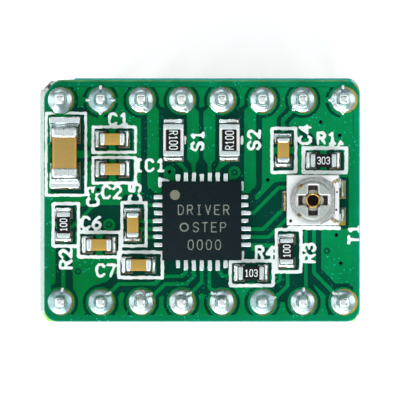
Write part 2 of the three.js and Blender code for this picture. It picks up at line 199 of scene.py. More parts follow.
def stained_laminate():
    """Thin laminate left at the snapped edge, stained turquoise by the mask that ran over it."""
    material, tree = new_tree("stained_laminate")
    streaks = noise(tree, 1500, 3.0, 0.6, stretch=(0.5, 6, 6))
    tone = ramp(tree, streaks, (0.3, (0.003, 0.30, 0.24)), (0.6, (0.01, 0.40, 0.34)),
                (0.8, (0.04, 0.46, 0.32)))
    return finished(material, tone, spread(tree, streaks, 0.4, 0.6), streaks, 0.01, Specular_IOR_Level=0.05)


def solder_material(name, tint, rough, relief_mm, lump_mm):
    """Reflowed tin: bright, with a frosty grain and slow lumps."""
    material, tree = new_tree(name)
    lumps = noise(tree, 1 / (lump_mm * MM), 3.0, 0.5, 0.4)
    frost = noise(tree, 16000, 2.0, 0.6)
    tone = ramp(tree, frost, (0.25, tuple(0.72 * c for c in tint)), (0.65, tint))
    return finished(material, tone, spread(tree, lumps, *rough), lumps, relief_mm, Metallic=1.0)


def printed_ink(name, tone, worn):
    """Screen ink with a slightly chalky, uneven face."""
    material, tree = new_tree(name)
    grain = noise(tree, 6000, 4.0, 0.65)
    return finished(material, ramp(tree, grain, (0.25, worn), (0.5, tone)), spread(tree, grain, 0.5, 0.65),
                    grain, 0.008)


def capacitor_ceramic(name, middle, edge, half_width_mm, axis, centre_line_mm):
    """Fired dielectric with a fine grain, a touch more orange at its long edges, which lie half a
    width to each side of a line across the given axis."""
    material, tree = new_tree(name)
    grain = noise(tree, 11000, 4.0, 0.65)
    cloud = noise(tree, 1500, 2.0)
    body = ramp(tree, grain, (0.3, tuple(0.86 * c for c in middle)), (0.7, middle))
    place = coordinate(tree, axis)
    away = add_node(tree, "Math", 0, {0: place, 1: centre_line_mm * MM}, operation="SUBTRACT")
    away = add_node(tree, "Math", 0, {0: away}, operation="ABSOLUTE")
    near_edge = remap(tree, away, (half_width_mm - 0.16) * MM, (half_width_mm - 0.06) * MM)
    return finished(material, mix(tree, near_edge, body, edge), spread(tree, cloud, 0.42, 0.6), grain, 0.005)


MATERIALS = {
    "mask": mask_material("mask_on_laminate", (0.001, 0.050, 0.030), (0.001, 0.062, 0.042),
                          (0.01, 0.30, 0.20)),
    "copper": mask_material("mask_on_copper", (0.001, 0.190, 0.040), (0.001, 0.275, 0.090),
                            (0.015, 0.62, 0.42)),
    "edge": mask_material("mask_on_edge", (0.001, 0.200, 0.075), (0.001, 0.270, 0.110),
                          (0.015, 0.62, 0.45)),
    "lip": mask_material("mask_lip", (0.01, 0.34, 0.22), (0.02, 0.46, 0.32), (0.3, 0.8, 0.7)),
    "olive": mask_material("mask_lip_back", (0.14, 0.34, 0.09), (0.13, 0.36, 0.12), (0.4, 0.6, 0.2)),
    "laminate": laminate_material(),
    "stained": stained_laminate(),
    "legend": printed_ink("white_legend", (0.88, 0.94, 0.93), (0.74, 0.84, 0.83)),
    # The tins' blue-green tints are a painted reflection of the green board round them.
    "joint": solder_material("pin_solder", (0.68, 0.83, 0.85), (0.25, 0.38), 0.006, 0.22),
    "dull_joint": solder_material("dull_solder", (0.47, 0.68, 0.70), (0.32, 0.46), 0.010, 0.16),
    "tin": solder_material("reflowed_tin", (0.84, 0.91, 0.92), (0.14, 0.30), 0.022, 0.26),
    "cap_end": solder_material("plated_chip_end", (0.80, 0.89, 0.90), (0.26, 0.40), 0.006, 0.07),
    "bright_tin": solder_material("smooth_tin", (0.93, 0.96, 0.95), (0.30, 0.45), 0.008, 0.22),
    "rough_end": solder_material("pitted_chip_end", (0.80, 0.86, 0.86), (0.22, 0.40), 0.03, 0.13),
    "marking": printed_ink("laser_marking", (0.22, 0.24, 0.20), (0.10, 0.12, 0.10)),
    "dot": printed_ink("pin_one_dot", (0.18, 0.19, 0.14), (0.13, 0.14, 0.10)),
}
# Plain surfaces: name, dark and light tones, grain in mm, range of roughness, and then, where they
# aren't the usual ones, metallic share, relief in mm, specular level and stretch of the grain.
PLAIN_SURFACES = {
    "lime": ("resin_corner", (0.16, 0.62, 0.01), (0.34, 0.85, 0.05), 0.08, (0.4, 0.6)),
    "gold_pad": ("fluxed_gilt", (0.16, 0.085, 0.012), (0.42, 0.26, 0.045), 0.12, (0.3, 0.45), 0.7, 0.004),
    "bright_pad": ("gilt_copper", (0.50, 0.33, 0.04), (0.74, 0.50, 0.09), 0.08, (0.25, 0.4), 0.7, 0.004),
    "land": ("gilt_land", (0.26, 0.17, 0.02), (0.52, 0.37, 0.06), 0.08, (0.3, 0.45), 0.6, 0.004),
    # bare_pad: bare copper darkened with painted shade.
    "bare_pad": ("shaded_bare_copper", (0.10, 0.055, 0.012), (0.26, 0.15, 0.035), 0.08, (0.3, 0.5), 0.6, 0.004),
    "pin": ("drawn_pin", (0.40, 0.41, 0.40), (0.56, 0.57, 0.55), 0.05, (0.28, 0.40), 1.0, 0.003, 0.5,
            (1, 1, 0.15)),
    "pin_tip": ("tinned_pin_tip", (0.80, 0.86, 0.87), (0.92, 0.97, 0.98), 0.09, (0.26, 0.38), 1.0, 0.002),
    # crevice: near-black painted shade for the crevices round the feet of parts.
    "crevice": ("painted_crevice_shade", (0.010, 0.016, 0.012), (0.05, 0.05, 0.035), 0.05, (0.3, 0.5)),
    "gilt_lug": ("worn_gilt", (0.22, 0.13, 0.01), (0.98, 0.90, 0.60), 0.20, (0.2, 0.4), 0.7, 0.012),
    "housing": ("moulded_insulator", (0.010, 0.010, 0.012), (0.022, 0.022, 0.026), 0.06, (0.42, 0.6), 0.0,
                0.008, 0.4),
    "compound": ("moulding_compound", (0.005, 0.011, 0.014), (0.011, 0.022, 0.026), 0.045, (0.5, 0.62), 0.0,
                 0.005, 0.05),
    "glaze": ("resistor_glaze", (0.003, 0.003, 0.005), (0.007, 0.007, 0.011), 0.05, (0.25, 0.4), 0.0, 0.003,
              0.2),
    "alumina": ("alumina", (0.78, 0.76, 0.72), (0.90, 0.90, 0.88), 0.05, (0.55, 0.7), 0.0, 0.004),
    "ceramic": ("trimmer_ceramic", (0.86, 0.87, 0.88), (0.95, 0.96, 0.96), 0.08, (0.45, 0.6), 0.0, 0.005),
    "steel": ("rotor_crown", (0.40, 0.45, 0.43), (0.56, 0.61, 0.57), 0.07, (0.34, 0.48), 0.6, 0.004),
    "steel_rim": ("rotor_rim", (0.30, 0.33, 0.32), (0.57, 0.60, 0.58), 0.10, (0.38, 0.5), 0.6, 0.008),
    "spring": ("wiper_spring", (0.34, 0.33, 0.27), (0.52, 0.50, 0.42), 0.05, (0.3, 0.42), 0.8, 0.003),
    # rotor_edge: a painted highlight on the bevel of the rotor's cross.
    "rotor_edge": ("rotor_bright_edge", (0.80, 0.80, 0.78), (0.95, 0.95, 0.94), 0.06, (0.2, 0.35), 0.6,
                   0.003),
    "brass": ("gilt_brass", (0.34, 0.18, 0.03), (0.90, 0.66, 0.26), 0.14, (0.15, 0.3), 1.0, 0.006),
    "stain": ("lubricant_spot", (0.02, 0.01, 0.00), (0.62, 0.42, 0.15), 0.17, (0.4, 0.6), 0.4, 0.012),
    "old_flux": ("old_flux", (0.03, 0.016, 0.006), (0.24, 0.14, 0.04), 0.06, (0.35, 0.5), 0.3, 0.006),
    # soot: painted shade in the rivet's hole and the base's pits, and the dark patch at the board edge's back
    # left corner.
    "soot": ("dark_pit", (0.004, 0.004, 0.004), (0.02, 0.016, 0.012), 0.05, (0.6, 0.8)),
    # track: dark track ink, which also serves as painted shade on the wiper's arm and round its cross.
    "track": ("resistance_ink_and_shade", (0.012, 0.012, 0.012), (0.03, 0.03, 0.03), 0.04, (0.5, 0.7), 0.0, 0.006),
}
MATERIALS.update((key, plain_surface(*row)) for key, row in PLAIN_SURFACES.items())

# ------------------------------------------------------------------ mesh helpers


class Shape:
    """Vertices in millimetres and faces, gathered before they become one piece."""

    def __init__(self):
        self.vertices = []
        self.faces = []
        self.flat = []
        self.paints = []

    def add(self, vertices, faces, flat=False, paint=0):
        start = len(self.vertices)
        self.vertices += [tuple(v) for v in vertices]
        self.faces += [tuple(start + i for i in face) for face in faces]
        self.flat += [flat] * len(faces)
        self.paints += [paint] * len(faces)
        return self

    def add_shape(self, other, offset=(0, 0, 0)):
        start = len(self.vertices)
        dx, dy, dz = offset
        self.vertices += [(x + dx, y + dy, z + dz) for x, y, z in other.vertices]
        self.faces += [tuple(start + i for i in face) for face in other.faces]
        self.flat += other.flat
        self.paints += other.paints
        return self

    def tidied(self):
        """Drops vertices that no face uses."""
        used = sorted({i for face in self.faces for i in face})
        renumber = {old: new for new, old in enumerate(used)}
        self.vertices = [self.vertices[i] for i in used]
        self.faces = [tuple(renumber[i] for i in face) for face in self.faces]
        return self


def piece(name, shape, materials, body="module", replaces=(), sharp=None):
    mesh = bpy.data.meshes.new(name)
    mesh.from_pydata([(x * MM, y * MM, z * MM) for x, y, z in shape.vertices], [], shape.faces)
    for key in materials if isinstance(materials, (list, tuple)) else [materials]:
        mesh.materials.append(MATERIALS[key] if isinstance(key, str) else key)
    mesh.polygons.foreach_set("material_index", shape.paints)
    mesh.polygons.foreach_set("use_smooth", [not flat for flat in shape.flat])
    mesh.update()
    if sharp:
        mesh.set_sharp_from_angle(angle=math.radians(sharp))
    thing = bpy.data.objects.new(name, mesh)
    bpy.context.scene.collection.objects.link(thing)
    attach(thing, body)
    if replaces:
        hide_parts(*replaces)
    return thing


def bevelled_box(low, high, bevel, segments=2):
    """A box with rounded edges."""
    work = bmesh.new()
    bmesh.ops.create_cube(work, size=1.0)
    for vertex in work.verts:
        vertex.co = Vector([(a + b) / 2 + c * (b - a) for a, b, c in zip(low, high, vertex.co)])
    bmesh.ops.bevel(work, geom=work.edges[:], offset=bevel, segments=segments, profile=0.5, affect="EDGES")
    work.verts.index_update()
    shape = Shape()
    shape.add([tuple(v.co) for v in work.verts], [[v.index for v in face.verts] for face in work.faces])
    work.free()
    return shape


def bands(rings):
    """The faces between rings of vertex numbers. A ring at a point repeats one number."""
    faces = []
    for lower, upper in zip(rings, rings[1:]):
        for corners in zip(lower, lower[1:] + lower[:1], upper[1:] + upper[:1], upper):
            faces.append(tuple(dict.fromkeys(corners)))
    return faces


def lathe(profile, segments, centre, paint=0):
    """A profile of (radius, height) pairs turned about a vertical line. The surface faces to the
    right of the profile's direction, and is left open where the profile ends off the axis."""
    x, y = centre
    rings, vertices = [], []
    for radius, height in profile:
        first, count = len(vertices), segments if radius else 1
        rings.append(list(range(first, first + count)) * (segments // count))
        for angle in (2 * math.pi * i / segments for i in range(count)):
            vertices.append((x + radius * math.cos(angle), y + radius * math.sin(angle), height))
    return Shape().add(vertices, bands(rings), paint=paint)


def loft(rings, paint=0, flat_caps=True):
    """Closed rings of equal length, anticlockwise seen from above, joined upwards and capped."""
    numbers = np.arange(len(rings) * len(rings[0])).reshape(len(rings), -1).tolist()
    faces = bands(numbers) + [numbers[0][::-1], numbers[-1]]
    shape = Shape().add([v for ring in rings for v in ring], faces, paint=paint)
    shape.flat[-2:] = [flat_caps] * 2
    return shape


# ------------------------------------------------------------------ plan drawings


def segment_distance(x, y, start, end):
    dx, dy = end[0] - start[0], end[1] - start[1]
    u, v = x - start[0], y - start[1]
    along = np.clip((u * dx + v * dy) / max(dx * dx + dy * dy, 1e-12), 0, 1)
    return np.hypot(u - along * dx, v - along * dy)


class Plan:
    """A signed distance map in millimetres, positive inside the drawn shape."""

    FAR = -1.0
    MARGIN = 0.45

    def __init__(self, x0, x1, y0, y1, step=0.025):
        self.step = step
        self.x = np.arange(x0, x1 + step / 2, step)
        self.y = np.arange(y0, y1 + step / 2, step)
        self.value = np.full((len(self.y), len(self.x)), self.FAR)

    def blank(self):
        other = Plan.__new__(Plan)
        other.step, other.x, other.y = self.step, self.x, self.y
        other.value = np.full_like(self.value, self.FAR)
        return other

    def copy(self):
        return self.blank().union(self)

    def paint(self, points, reach, distance):
        """Adds a shape that keeps within reach of the box round some points."""
        xs, ys = zip(*points)
        margin = reach + self.MARGIN
        i0, i1 = np.searchsorted(self.x, (min(xs) - margin, max(xs) + margin))
        j0, j1 = np.searchsorted(self.y, (min(ys) - margin, max(ys) + margin))
        if i0 != i1 and j0 != j1:
            grid_x, grid_y = np.meshgrid(self.x[i0:i1], self.y[j0:j1])
            window = self.value[j0:j1, i0:i1]
            np.maximum(window, distance(grid_x, grid_y), out=window)
        return self

    def disc(self, x, y, radius):
        return self.paint([(x, y)], radius, lambda gx, gy: radius - np.hypot(gx - x, gy - y))

    def stroke(self, points, width):
        """A line of round-ended segments."""
        for ends in zip(points, points[1:]):
            self.paint(ends, width / 2, lambda gx, gy, ends=ends: width / 2 - segment_distance(gx, gy, *ends))
        return self

    def polygon(self, points, grow=0.0):

        def distance(gx, gy):
            nearest = np.full(gx.shape, np.inf)
            inside = np.zeros(gx.shape, bool)
            for start, end in zip(points, points[1:] + points[:1]):
                nearest = np.minimum(nearest, segment_distance(gx, gy, start, end))
                (ax, ay), (bx, by) = start, end
                if ay != by:
                    inside ^= ((ay > gy) != (by > gy)) & (gx < (gy - ay) * (bx - ax) / (by - ay) + ax)
            return np.where(inside, nearest, -nearest) + grow

        return self.paint(points, grow, distance)

    def rectangle(self, x0, x1, y0, y1, corner=0.0):
        c = corner
        return self.polygon([(x0 + c, y0 + c), (x1 - c, y0 + c), (x1 - c, y1 - c), (x0 + c, y1 - c)], c)

    def bar(self, x, y, half_length, half_width, corner=0.0):
        """A rectangle about its middle."""
        return self.rectangle(x - half_length, x + half_length, y - half_width, y + half_width, corner)

    def union(self, other):
        self.value = np.maximum(self.value, other.value)
        return self

    def minus(self, other, clearance=0.0):
        self.value = np.minimum(self.value, -(other.value + clearance))
        return self

    def within(self, other, inset=0.0):
        self.value = np.minimum(self.value, other.value - inset)
        return self

    def soften(self, radius):
        """Rounds corners by averaging the map over a small square."""
        half = max(1, int(round(radius / self.step)))
        kernel = np.hanning(2 * half + 3)[1:-1]
        kernel /= kernel.sum()
        rows = np.pad(self.value, ((half, half), (half, half)), mode="edge")
        count_y, count_x = self.value.shape
        across = sum(k * rows[:, i:i + count_x] for i, k in enumerate(kernel))
        self.value = sum(k * across[i:i + count_y, :] for i, k in enumerate(kernel))
        return self

    def roughen(self, amount, size, seed):
        """Shifts the outline in and out by an amount, with smooth noise of a given size."""
        dice = np.random.default_rng(seed)
        cells_x = int((self.x[-1] - self.x[0]) / size) + 3
        cells_y = int((self.y[-1] - self.y[0]) / size) + 3
        coarse = dice.uniform(-1, 1, (cells_y, cells_x))
        u = (self.x - self.x[0]) / size
        v = (self.y - self.y[0]) / size
        i, j = u.astype(int), v.astype(int)
        s, t = u - i, v - j
        s, t = s * s * (3 - 2 * s), (t * t * (3 - 2 * t))[:, None]
        low = coarse[j][:, i] * (1 - s) + coarse[j][:, i + 1] * s
        high = coarse[j + 1][:, i] * (1 - s) + coarse[j + 1][:, i + 1] * s
        self.value = self.value + amount * (low * (1 - t) + high * t)
        return self

    def sample(self, x, y):
        i = np.clip(((x - self.x[0]) / self.step).astype(int), 0, len(self.x) - 2)
        j = np.clip(((y - self.y[0]) / self.step).astype(int), 0, len(self.y) - 2)
        s = (x - self.x[i]) / self.step
        t = (y - self.y[j]) / self.step
        v = self.value
        low = v[j, i] * (1 - s) + v[j, i + 1] * s
        high = v[j + 1, i] * (1 - s) + v[j + 1, i + 1] * s
        return low * (1 - t) + high * t

    # For each pattern of inside corners, the cell sides that the outline enters and leaves by.
    CASES = {
        1: [(0, 3)], 2: [(1, 0)], 3: [(1, 3)], 4: [(2, 1)], 5: [(0, 3), (2, 1)], 6: [(2, 0)], 7: [(2, 3)],
        8: [(3, 2)], 9: [(0, 2)], 10: [(1, 0), (3, 2)], 11: [(1, 2)], 12: [(3, 1)], 13: [(0, 1)],
        14: [(3, 0)],
    }

    def outlines(self, tolerance=0.006):
        """The zero contours, as simplified closed loops of points."""
        width = len(self.x)
        inside = self.value > 0
        code = inside[:-1, :-1] + 2 * inside[:-1, 1:] + 4 * inside[1:, 1:] + 8 * inside[1:, :-1]
        following = {}
        for case, steps in self.CASES.items():
            rows, columns = np.nonzero(code == case)
            first = rows * width + columns
            sides = (2 * first, 2 * (first + 1) + 1, 2 * (first + width), 2 * first + 1)
            for enter, leave in steps:
                following.update(zip(sides[enter].tolist(), sides[leave].tolist()))
        loops = [self._crossings(np.array(loop)) for loop in chained(following) if len(loop) > 5]
        loops = [simplified(loop, tolerance) for loop in loops]
        return [loop for loop in loops if len(loop) > 2]

    def _crossings(self, edges):
        width = len(self.x)
        upright = edges % 2 == 1
        cell = edges // 2
        j, i = cell // width, cell % width
        j2, i2 = j + upright, i + ~upright
        here, there = self.value[j, i], self.value[j2, i2]
        share = here / (here - there)
        x = self.x[i] + share * (self.x[i2] - self.x[i])
        y = self.y[j] + share * (self.y[j2] - self.y[j])
        return np.column_stack((x, y))


def chained(following):
    """The closed loops in a map from each item to the one after it."""
    loops = []
    while following:
        at, loop = next(iter(following)), []
        while at in following:
            loop.append(at)
            at = following.pop(at)
        loops.append(loop)
    return loops


def simplified(points, tolerance):
    """Drops the points of a closed loop that lie within tolerance of the line without them."""
    far = int(np.argmax(np.hypot(*(points - points[0]).T)))
    keep = {0, far}
    stack = [(0, far), (far, len(points))]
    closed = np.vstack((points, points[:1]))
    while stack:
        a, b = stack.pop()
        if b - a < 2:
            continue
        base = closed[b] - closed[a]
        length = math.hypot(*base)
        offsets = closed[a + 1:b] - closed[a]
        if length < 1e-9:
            gaps = np.hypot(offsets[:, 0], offsets[:, 1])
        else:
            gaps = np.abs(offsets[:, 0] * base[1] - offsets[:, 1] * base[0]) / length
        worst = int(np.argmax(gaps))
        if gaps[worst] > tolerance:
            split = a + 1 + worst
            keep.add(split)
            stack += [(a, split), (split, b)]
    return points[sorted(keep)]


def regions(triangles, fences):
    """Numbers the triangles by the region they lie in, between the fences."""
    touching = {}
    for index, corners in enumerate(triangles):
        for side in zip(corners, corners[1:] + corners[:1]):
            touching.setdefault(tuple(sorted(side)), []).append(index)
    nearby = [[] for _ in triangles]
    for side, pair in touching.items():
        if len(pair) == 2 and side not in fences:
            nearby[pair[0]].append(pair[1])
            nearby[pair[1]].append(pair[0])
    region = [-1] * len(triangles)
    count = 0
    for start in range(len(triangles)):
        if region[start] >= 0:
            continue
        region[start] = count
        waiting = [start]
        while waiting:
            for other in nearby[waiting.pop()]:
                if region[other] < 0:
                    region[other] = count
                    waiting.append(other)
        count += 1
    return np.array(region)


def filled(plan, loops, extra=(), creases=()):
    """Triangles that fill a plan's outlines: their corners, the triangles, and the border edges,
    all anticlockwise. The outlines' own points come first. Triangle sides follow the creases."""
    points, edges = [], []
    for loop in [*loops, *creases]:
        start = len(points)
        points += [Vector(p) for p in loop.tolist()]
        edges += [(start + i, start + (i + 1) % len(loop)) for i in range(len(loop))]
    points += [Vector(p) for p in extra]
    corners, sides, triangles, _, sources, _ = geometry.delaunay_2d_cdt(points, edges, [], 0, 1e-7)
    corners = np.array([tuple(c) for c in corners])
    triangles = np.array([list(t) for t in triangles])
    a, b, c = (corners[triangles[:, k]] for k in range(3))
    doubled = (b[:, 0] - a[:, 0]) * (c[:, 1] - a[:, 1]) - (b[:, 1] - a[:, 1]) * (c[:, 0] - a[:, 0])
    triangles[doubled < 0] = triangles[doubled < 0][:, ::-1]
    middle = corners[triangles].mean(axis=1)
    depth = plan.sample(middle[:, 0], middle[:, 1]) * np.abs(doubled)
    fences = {tuple(sorted(side)) for side, source in zip(sides, sources) if source}
    region = regions(triangles.tolist(), fences)
    kept = triangles[np.bincount(region, depth)[region] > 0]
    sides = {(int(t[k]), int(t[(k + 1) % 3])) for t in kept for k in range(3)}
    return corners, kept, [(p, q) for p, q in sides if (q, p) not in sides]


def raised(plan, rings, tolerance=0.006):
    """A plan turned into a solid. rings are (inset, height) pairs from one face to the other."""
    corners, kept, border = filled(plan, plan.outlines(tolerance))
    inward = np.zeros_like(corners)
    for p, q in border:
        along = corners[q] - corners[p]
        normal = np.array((-along[1], along[0])) / max(math.hypot(*along), 1e-9)
        inward[p] += normal
        inward[q] += normal
    length = np.maximum(np.hypot(inward[:, 0], inward[:, 1]), 1e-9)
    inward *= (np.minimum(2 / length, 1.5) / length)[:, None]
    vertices = [(x, y, height) for inset, height in rings for x, y in (corners + inset * inward).tolist()]
    count = len(corners)
    walls = [(low + p, low + q, low + count + q, low + count + p)
             for low in range(0, (len(rings) - 1) * count, count) for p, q in border]
    first, last = kept[:, ::-1].tolist(), (kept + (len(rings) - 1) * count).tolist()
    if rings[-1][1] < rings[0][1]:
        walls, first, last = ([face[::-1] for face in faces] for faces in (walls, first, last))
    shape = Shape().add(vertices, walls + first + last)
    shape.flat[len(walls):] = [True] * (2 * len(kept))
    return shape.tidied()


def densified(loop, spacing):
    """A closed loop with further points along its long sides."""
    dense = []
    for (ax, ay), (bx, by) in zip(loop, np.roll(loop, -1, axis=0)):
        steps = max(1, int(math.hypot(bx - ax, by - ay) / spacing))
        dense += [(ax + (bx - ax) * k / steps, ay + (by - ay) * k / steps) for k in range(steps)]
    return np.array(dense)


def moulded(plan, bottom, height, spacing=0.05, tolerance=0.005, paint=None, creases=()):
    """A plan turned into a solid with a flat bottom and a curved top. height, and paint where the
    top has several materials, take arrays of x and y. creases are loops where the paint changes."""
    loops = [densified(loop, 1.4 * spacing) for loop in plan.outlines(tolerance)]
    outline = np.vstack(loops)
    low, high = outline.min(axis=0), outline.max(axis=0)
    rows = np.arange(low[1] + spacing / 2, high[1], spacing * 0.87)
    grid = []
    for j, y in enumerate(rows):
        grid += [(x, y) for x in np.arange(low[0] + spacing * (0.25 + 0.5 * (j % 2)), high[0], spacing)]
    grid = np.array(grid).reshape(-1, 2)
    grid = grid[plan.sample(grid[:, 0], grid[:, 1]) > 0.5 * spacing]
    corners, kept, border = filled(plan, loops, grid.tolist(), creases)
    floor_corners, floor, _ = filled(plan, loops)
    if creases or len(floor_corners) != len(outline):
        floor = kept
    count = len(corners)
    heights = height(corners[:, 0], corners[:, 1]).tolist()
    plane = corners.tolist()
    top = kept.tolist()
    walls = [(count + p, count + q, q, p) for p, q in border]
    shape = Shape().add([(x, y, z) for (x, y), z in zip(plane, heights)] + [(x, y, bottom) for x, y in plane],
                        top + walls + (count + floor[:, ::-1]).tolist())
    shape.flat[len(top) + len(walls):] = [True] * len(floor)
    if paint is not None:
        middle = corners[kept].mean(axis=1)
        shape.paints[:len(top)] = [int(v) for v in paint(middle[:, 0], middle[:, 1])]
    return shape.tidied()


def layer(name, plan, base, rings, materials, tolerance=0.006, replaces=()):
    """A plan raised to a piece, by (inset, height above the base) pairs."""
    shape = raised(plan, [(inset, base + rise) for inset, rise in rings], tolerance)
    piece(name, shape, materials, replaces=replaces)


def rounded_edge(distance, radius):
    """0 at an edge and outside it, and 1 from radius inwards, along a quarter circle."""
    inner = np.clip(1 - distance / radius, 0, 1)
    return np.sqrt(np.clip(1 - inner * inner, 0, 1))


def cushion(plan, top, drop, radius):
    """A height map, flat at the top and rounded off by a drop towards the plan's edge."""
    return lambda x, y: top - drop * (1 - rounded_edge(plan.sample(x, y), radius))


def placed(points, x, y, angle):
    """Points turned about the origin by an angle in radians and moved to a place."""
    cosine, sine = math.cos(angle), math.sin(angle)
    return [(x + u * cosine - v * sine, y + u * sine + v * cosine) for u, v in points]


def eased(value, start, end):
    t = np.clip((value - start) / (end - start), 0, 1)
    return t * t * (3 - 2 * t)


# A plain single-stroke alphabet on a grid 4 wide and 6 high.
LETTERS = {
    "0": [[(1, 0), (3, 0), (4, 1.4), (4, 4.6), (3, 6), (1, 6), (0, 4.6), (0, 1.4), (1, 0)]],
    "1": [[(0.8, 4.8), (2.2, 6), (2.2, 0)], [(0.8, 0), (3.6, 0)]],
    "2": [[(0, 4.8), (1, 6), (3, 6), (4, 4.9), (4, 3.8), (0, 0), (4, 0)]],
    "3": [[(0, 5), (1, 6), (3, 6), (4, 5), (4, 4), (3, 3.1), (1.6, 3.1)], [(3, 3.1), (4, 2.2), (4, 1), (3, 0),
          (1, 0), (0, 1)]],
    "4": [[(3, 0), (3, 6), (0, 2), (4, 2)]],
    "5": [[(4, 6), (0.4, 6), (0.2, 3.4), (3, 3.6), (4, 2.6), (4, 1), (3, 0), (1, 0), (0, 1)]],
    "6": [[(3.6, 6), (1.2, 4.6), (0, 2.6), (0, 1), (1, 0), (3, 0), (4, 1), (4, 2.4), (3, 3.3), (1, 3.3),
          (0, 2.4)]],
    "7": [[(0, 6), (4, 6), (1.4, 0)]],
    "C": [[(4, 4.9), (3, 6), (1, 6), (0, 4.8), (0, 1.2), (1, 0), (3, 0), (4, 1.1)]],
    "D": [[(0, 0), (0, 6), (2.4, 6), (4, 4.6), (4, 1.4), (2.4, 0), (0, 0)]],
    "E": [[(4, 0), (0, 0), (0, 6), (4, 6)], [(0, 3.1), (3.2, 3.1)]],
    "I": [[(2, 0), (2, 6)], [(0.9, 0), (3.1, 0)], [(0.9, 6), (3.1, 6)]],
    "P": [[(0, 0), (0, 6), (3, 6), (4, 5), (4, 3.8), (3, 2.8), (0, 2.8)]],
    "R": [[(0, 0), (0, 6), (3, 6), (4, 5), (4, 4), (3, 3), (0, 3)], [(2, 3), (4, 0)]],
    "S": [[(4, 5), (3, 6), (1, 6), (0, 5), (0, 4), (1, 3.2), (3, 2.8), (4, 2), (4, 1), (3, 0), (1, 0),
          (0, 1)]],
    "T": [[(2, 0), (2, 6)], [(0, 6), (4, 6)]],
    "V": [[(0, 6), (2, 0), (4, 6)]],
    " ": [],
}


def write(plan, text, x, y, height, turn=0, line=0.2, width=0.62, gap=0.34):
    """Strokes text, centred on a point and turned by degrees, into a plan. width and gap are shares
    of the height."""
    advance = height * (width + gap)
    left = -(len(text) * advance - gap * height) / 2
    for index, letter in enumerate(text):
        start = left + index * advance
        for stroke in LETTERS[letter]:
            points = [(start + u / 4 * width * height, (v / 6 - 0.5) * height) for u, v in stroke]
            plan.stroke(placed(points, x, y, math.radians(turn)), line)


# ------------------------------------------------------------------ board artwork

BOARD_PLAN = Plan(-10.5, 10.3, -7.9, 8.1)
# Round each pin: the drilled hole, the hole in the mask, the ring of copper, and the gap in the
# ground copper.
PIN_HOLE_RADIUS = 0.5
PIN_PAD_RADIUS = 0.83
PIN_RING_RADIUS = 0.96
PIN_GAP_RADIUS = 1.12
# The holes in the mask lie a little off the pads, so a crescent of each pad shows.
PAD_SHIFT = (0.045, -0.01)
END_PAD_SHIFT = (0.085, 0.0)
# Gaps between the ground copper and the tracks, the lands and the mask's edge.
CLEARANCE = 0.24
LAND_CLEARANCE = 0.20
EDGE_MARGIN = 0.40
TRACE = 0.25
# The mask is brighter in a rim along its edge, and brightest in the lip.
RIM_WIDTH = 0.43
LIP_WIDTH = 0.075

# The outline that the solder mask covers, drawn smaller and grown back to round its corners.
MASK_ROUND = 0.85
MASK_OUTLINE = [(-9.06, -6.73), (9.08, -6.73), (9.08, 6.74), (-8.78, 6.74), (-9.06, 6.36)]

CAPACITORS = ["bulk_capacitor"] + [f"capacitor_c{i}" for i in (1, 2, 4, 5, 6, 7)]
RESISTORS = [f"resistor_r{i}" for i in (1, 2, 3, 4)]
SENSE = ["sense_resistor_s1", "sense_resistor_s2"]
# Chip parts: half length and half width of the land pattern, and the length of a land.
SMALL_LANDS = (1.07, 0.53, 0.66)
LAND_SIZES = {"bulk_capacitor": (2.27, 0.97, 1.68), **dict.fromkeys(SENSE, (1.33, 0.62, 0.66))}
# Lands are x0, x1, y0, y1.
TRIMMER_LANDS = [(8.2, 9.03, 0.15, 1.29), (8.2, 9.03, -1.52, -0.43), (5.08, 5.9, -0.62, 0.62)]

DRIVER_LOW, DRIVER_HIGH = box_mm("driver_body")
DRIVER_X, DRIVER_Y, _ = centre_mm("driver_body")
LEAD_PITCH = 0.5
LEAD_WIDTH = 0.29
LEADS_A_SIDE = 7
LEAD_OFFSETS = [(index - (LEADS_A_SIDE - 1) / 2) * LEAD_PITCH for index in range(LEADS_A_SIDE)]
# How far each side's lands reach past the body, from its first to its last lead, and under it.
LEAD_REACH = {
    "back": (0.46, 0.58, 0.58, 0.48, 0.58, 0.58, 0.5),
    "front": (0.5, 0.66, 0.66, 0.66, 0.66, 0.66, 0.5),
    "left": (0.54, 0.62, 0.62, 0.62, 0.54, 0.62, 0.56),
    "right": (0.62, 0.62, 0.62, 0.46, 0.62, 0.46, 0.46),
}
UNDER_BODY = 0.3

OPEN_VIAS = [
    (-2.03, 1.83), (4.15, 1.34), (7.47, 4.98), (-6.52, 0.72), (8.74, -3.9), (8.46, -2.12), (8.67, 4.13),
]
TENTED_VIAS = [(2.05, 1.8), (-5.83, -1.49), (4.65, -4.8), (-7.78, -4.42), (7.86, -3.13)]
VIA_RADIUS = 0.13
# The radius of the copper round the vias that stand in narrow tracks.
VIA_RING = 0.4
TRACK_VIAS = OPEN_VIAS[:1] + TENTED_VIAS[:3]

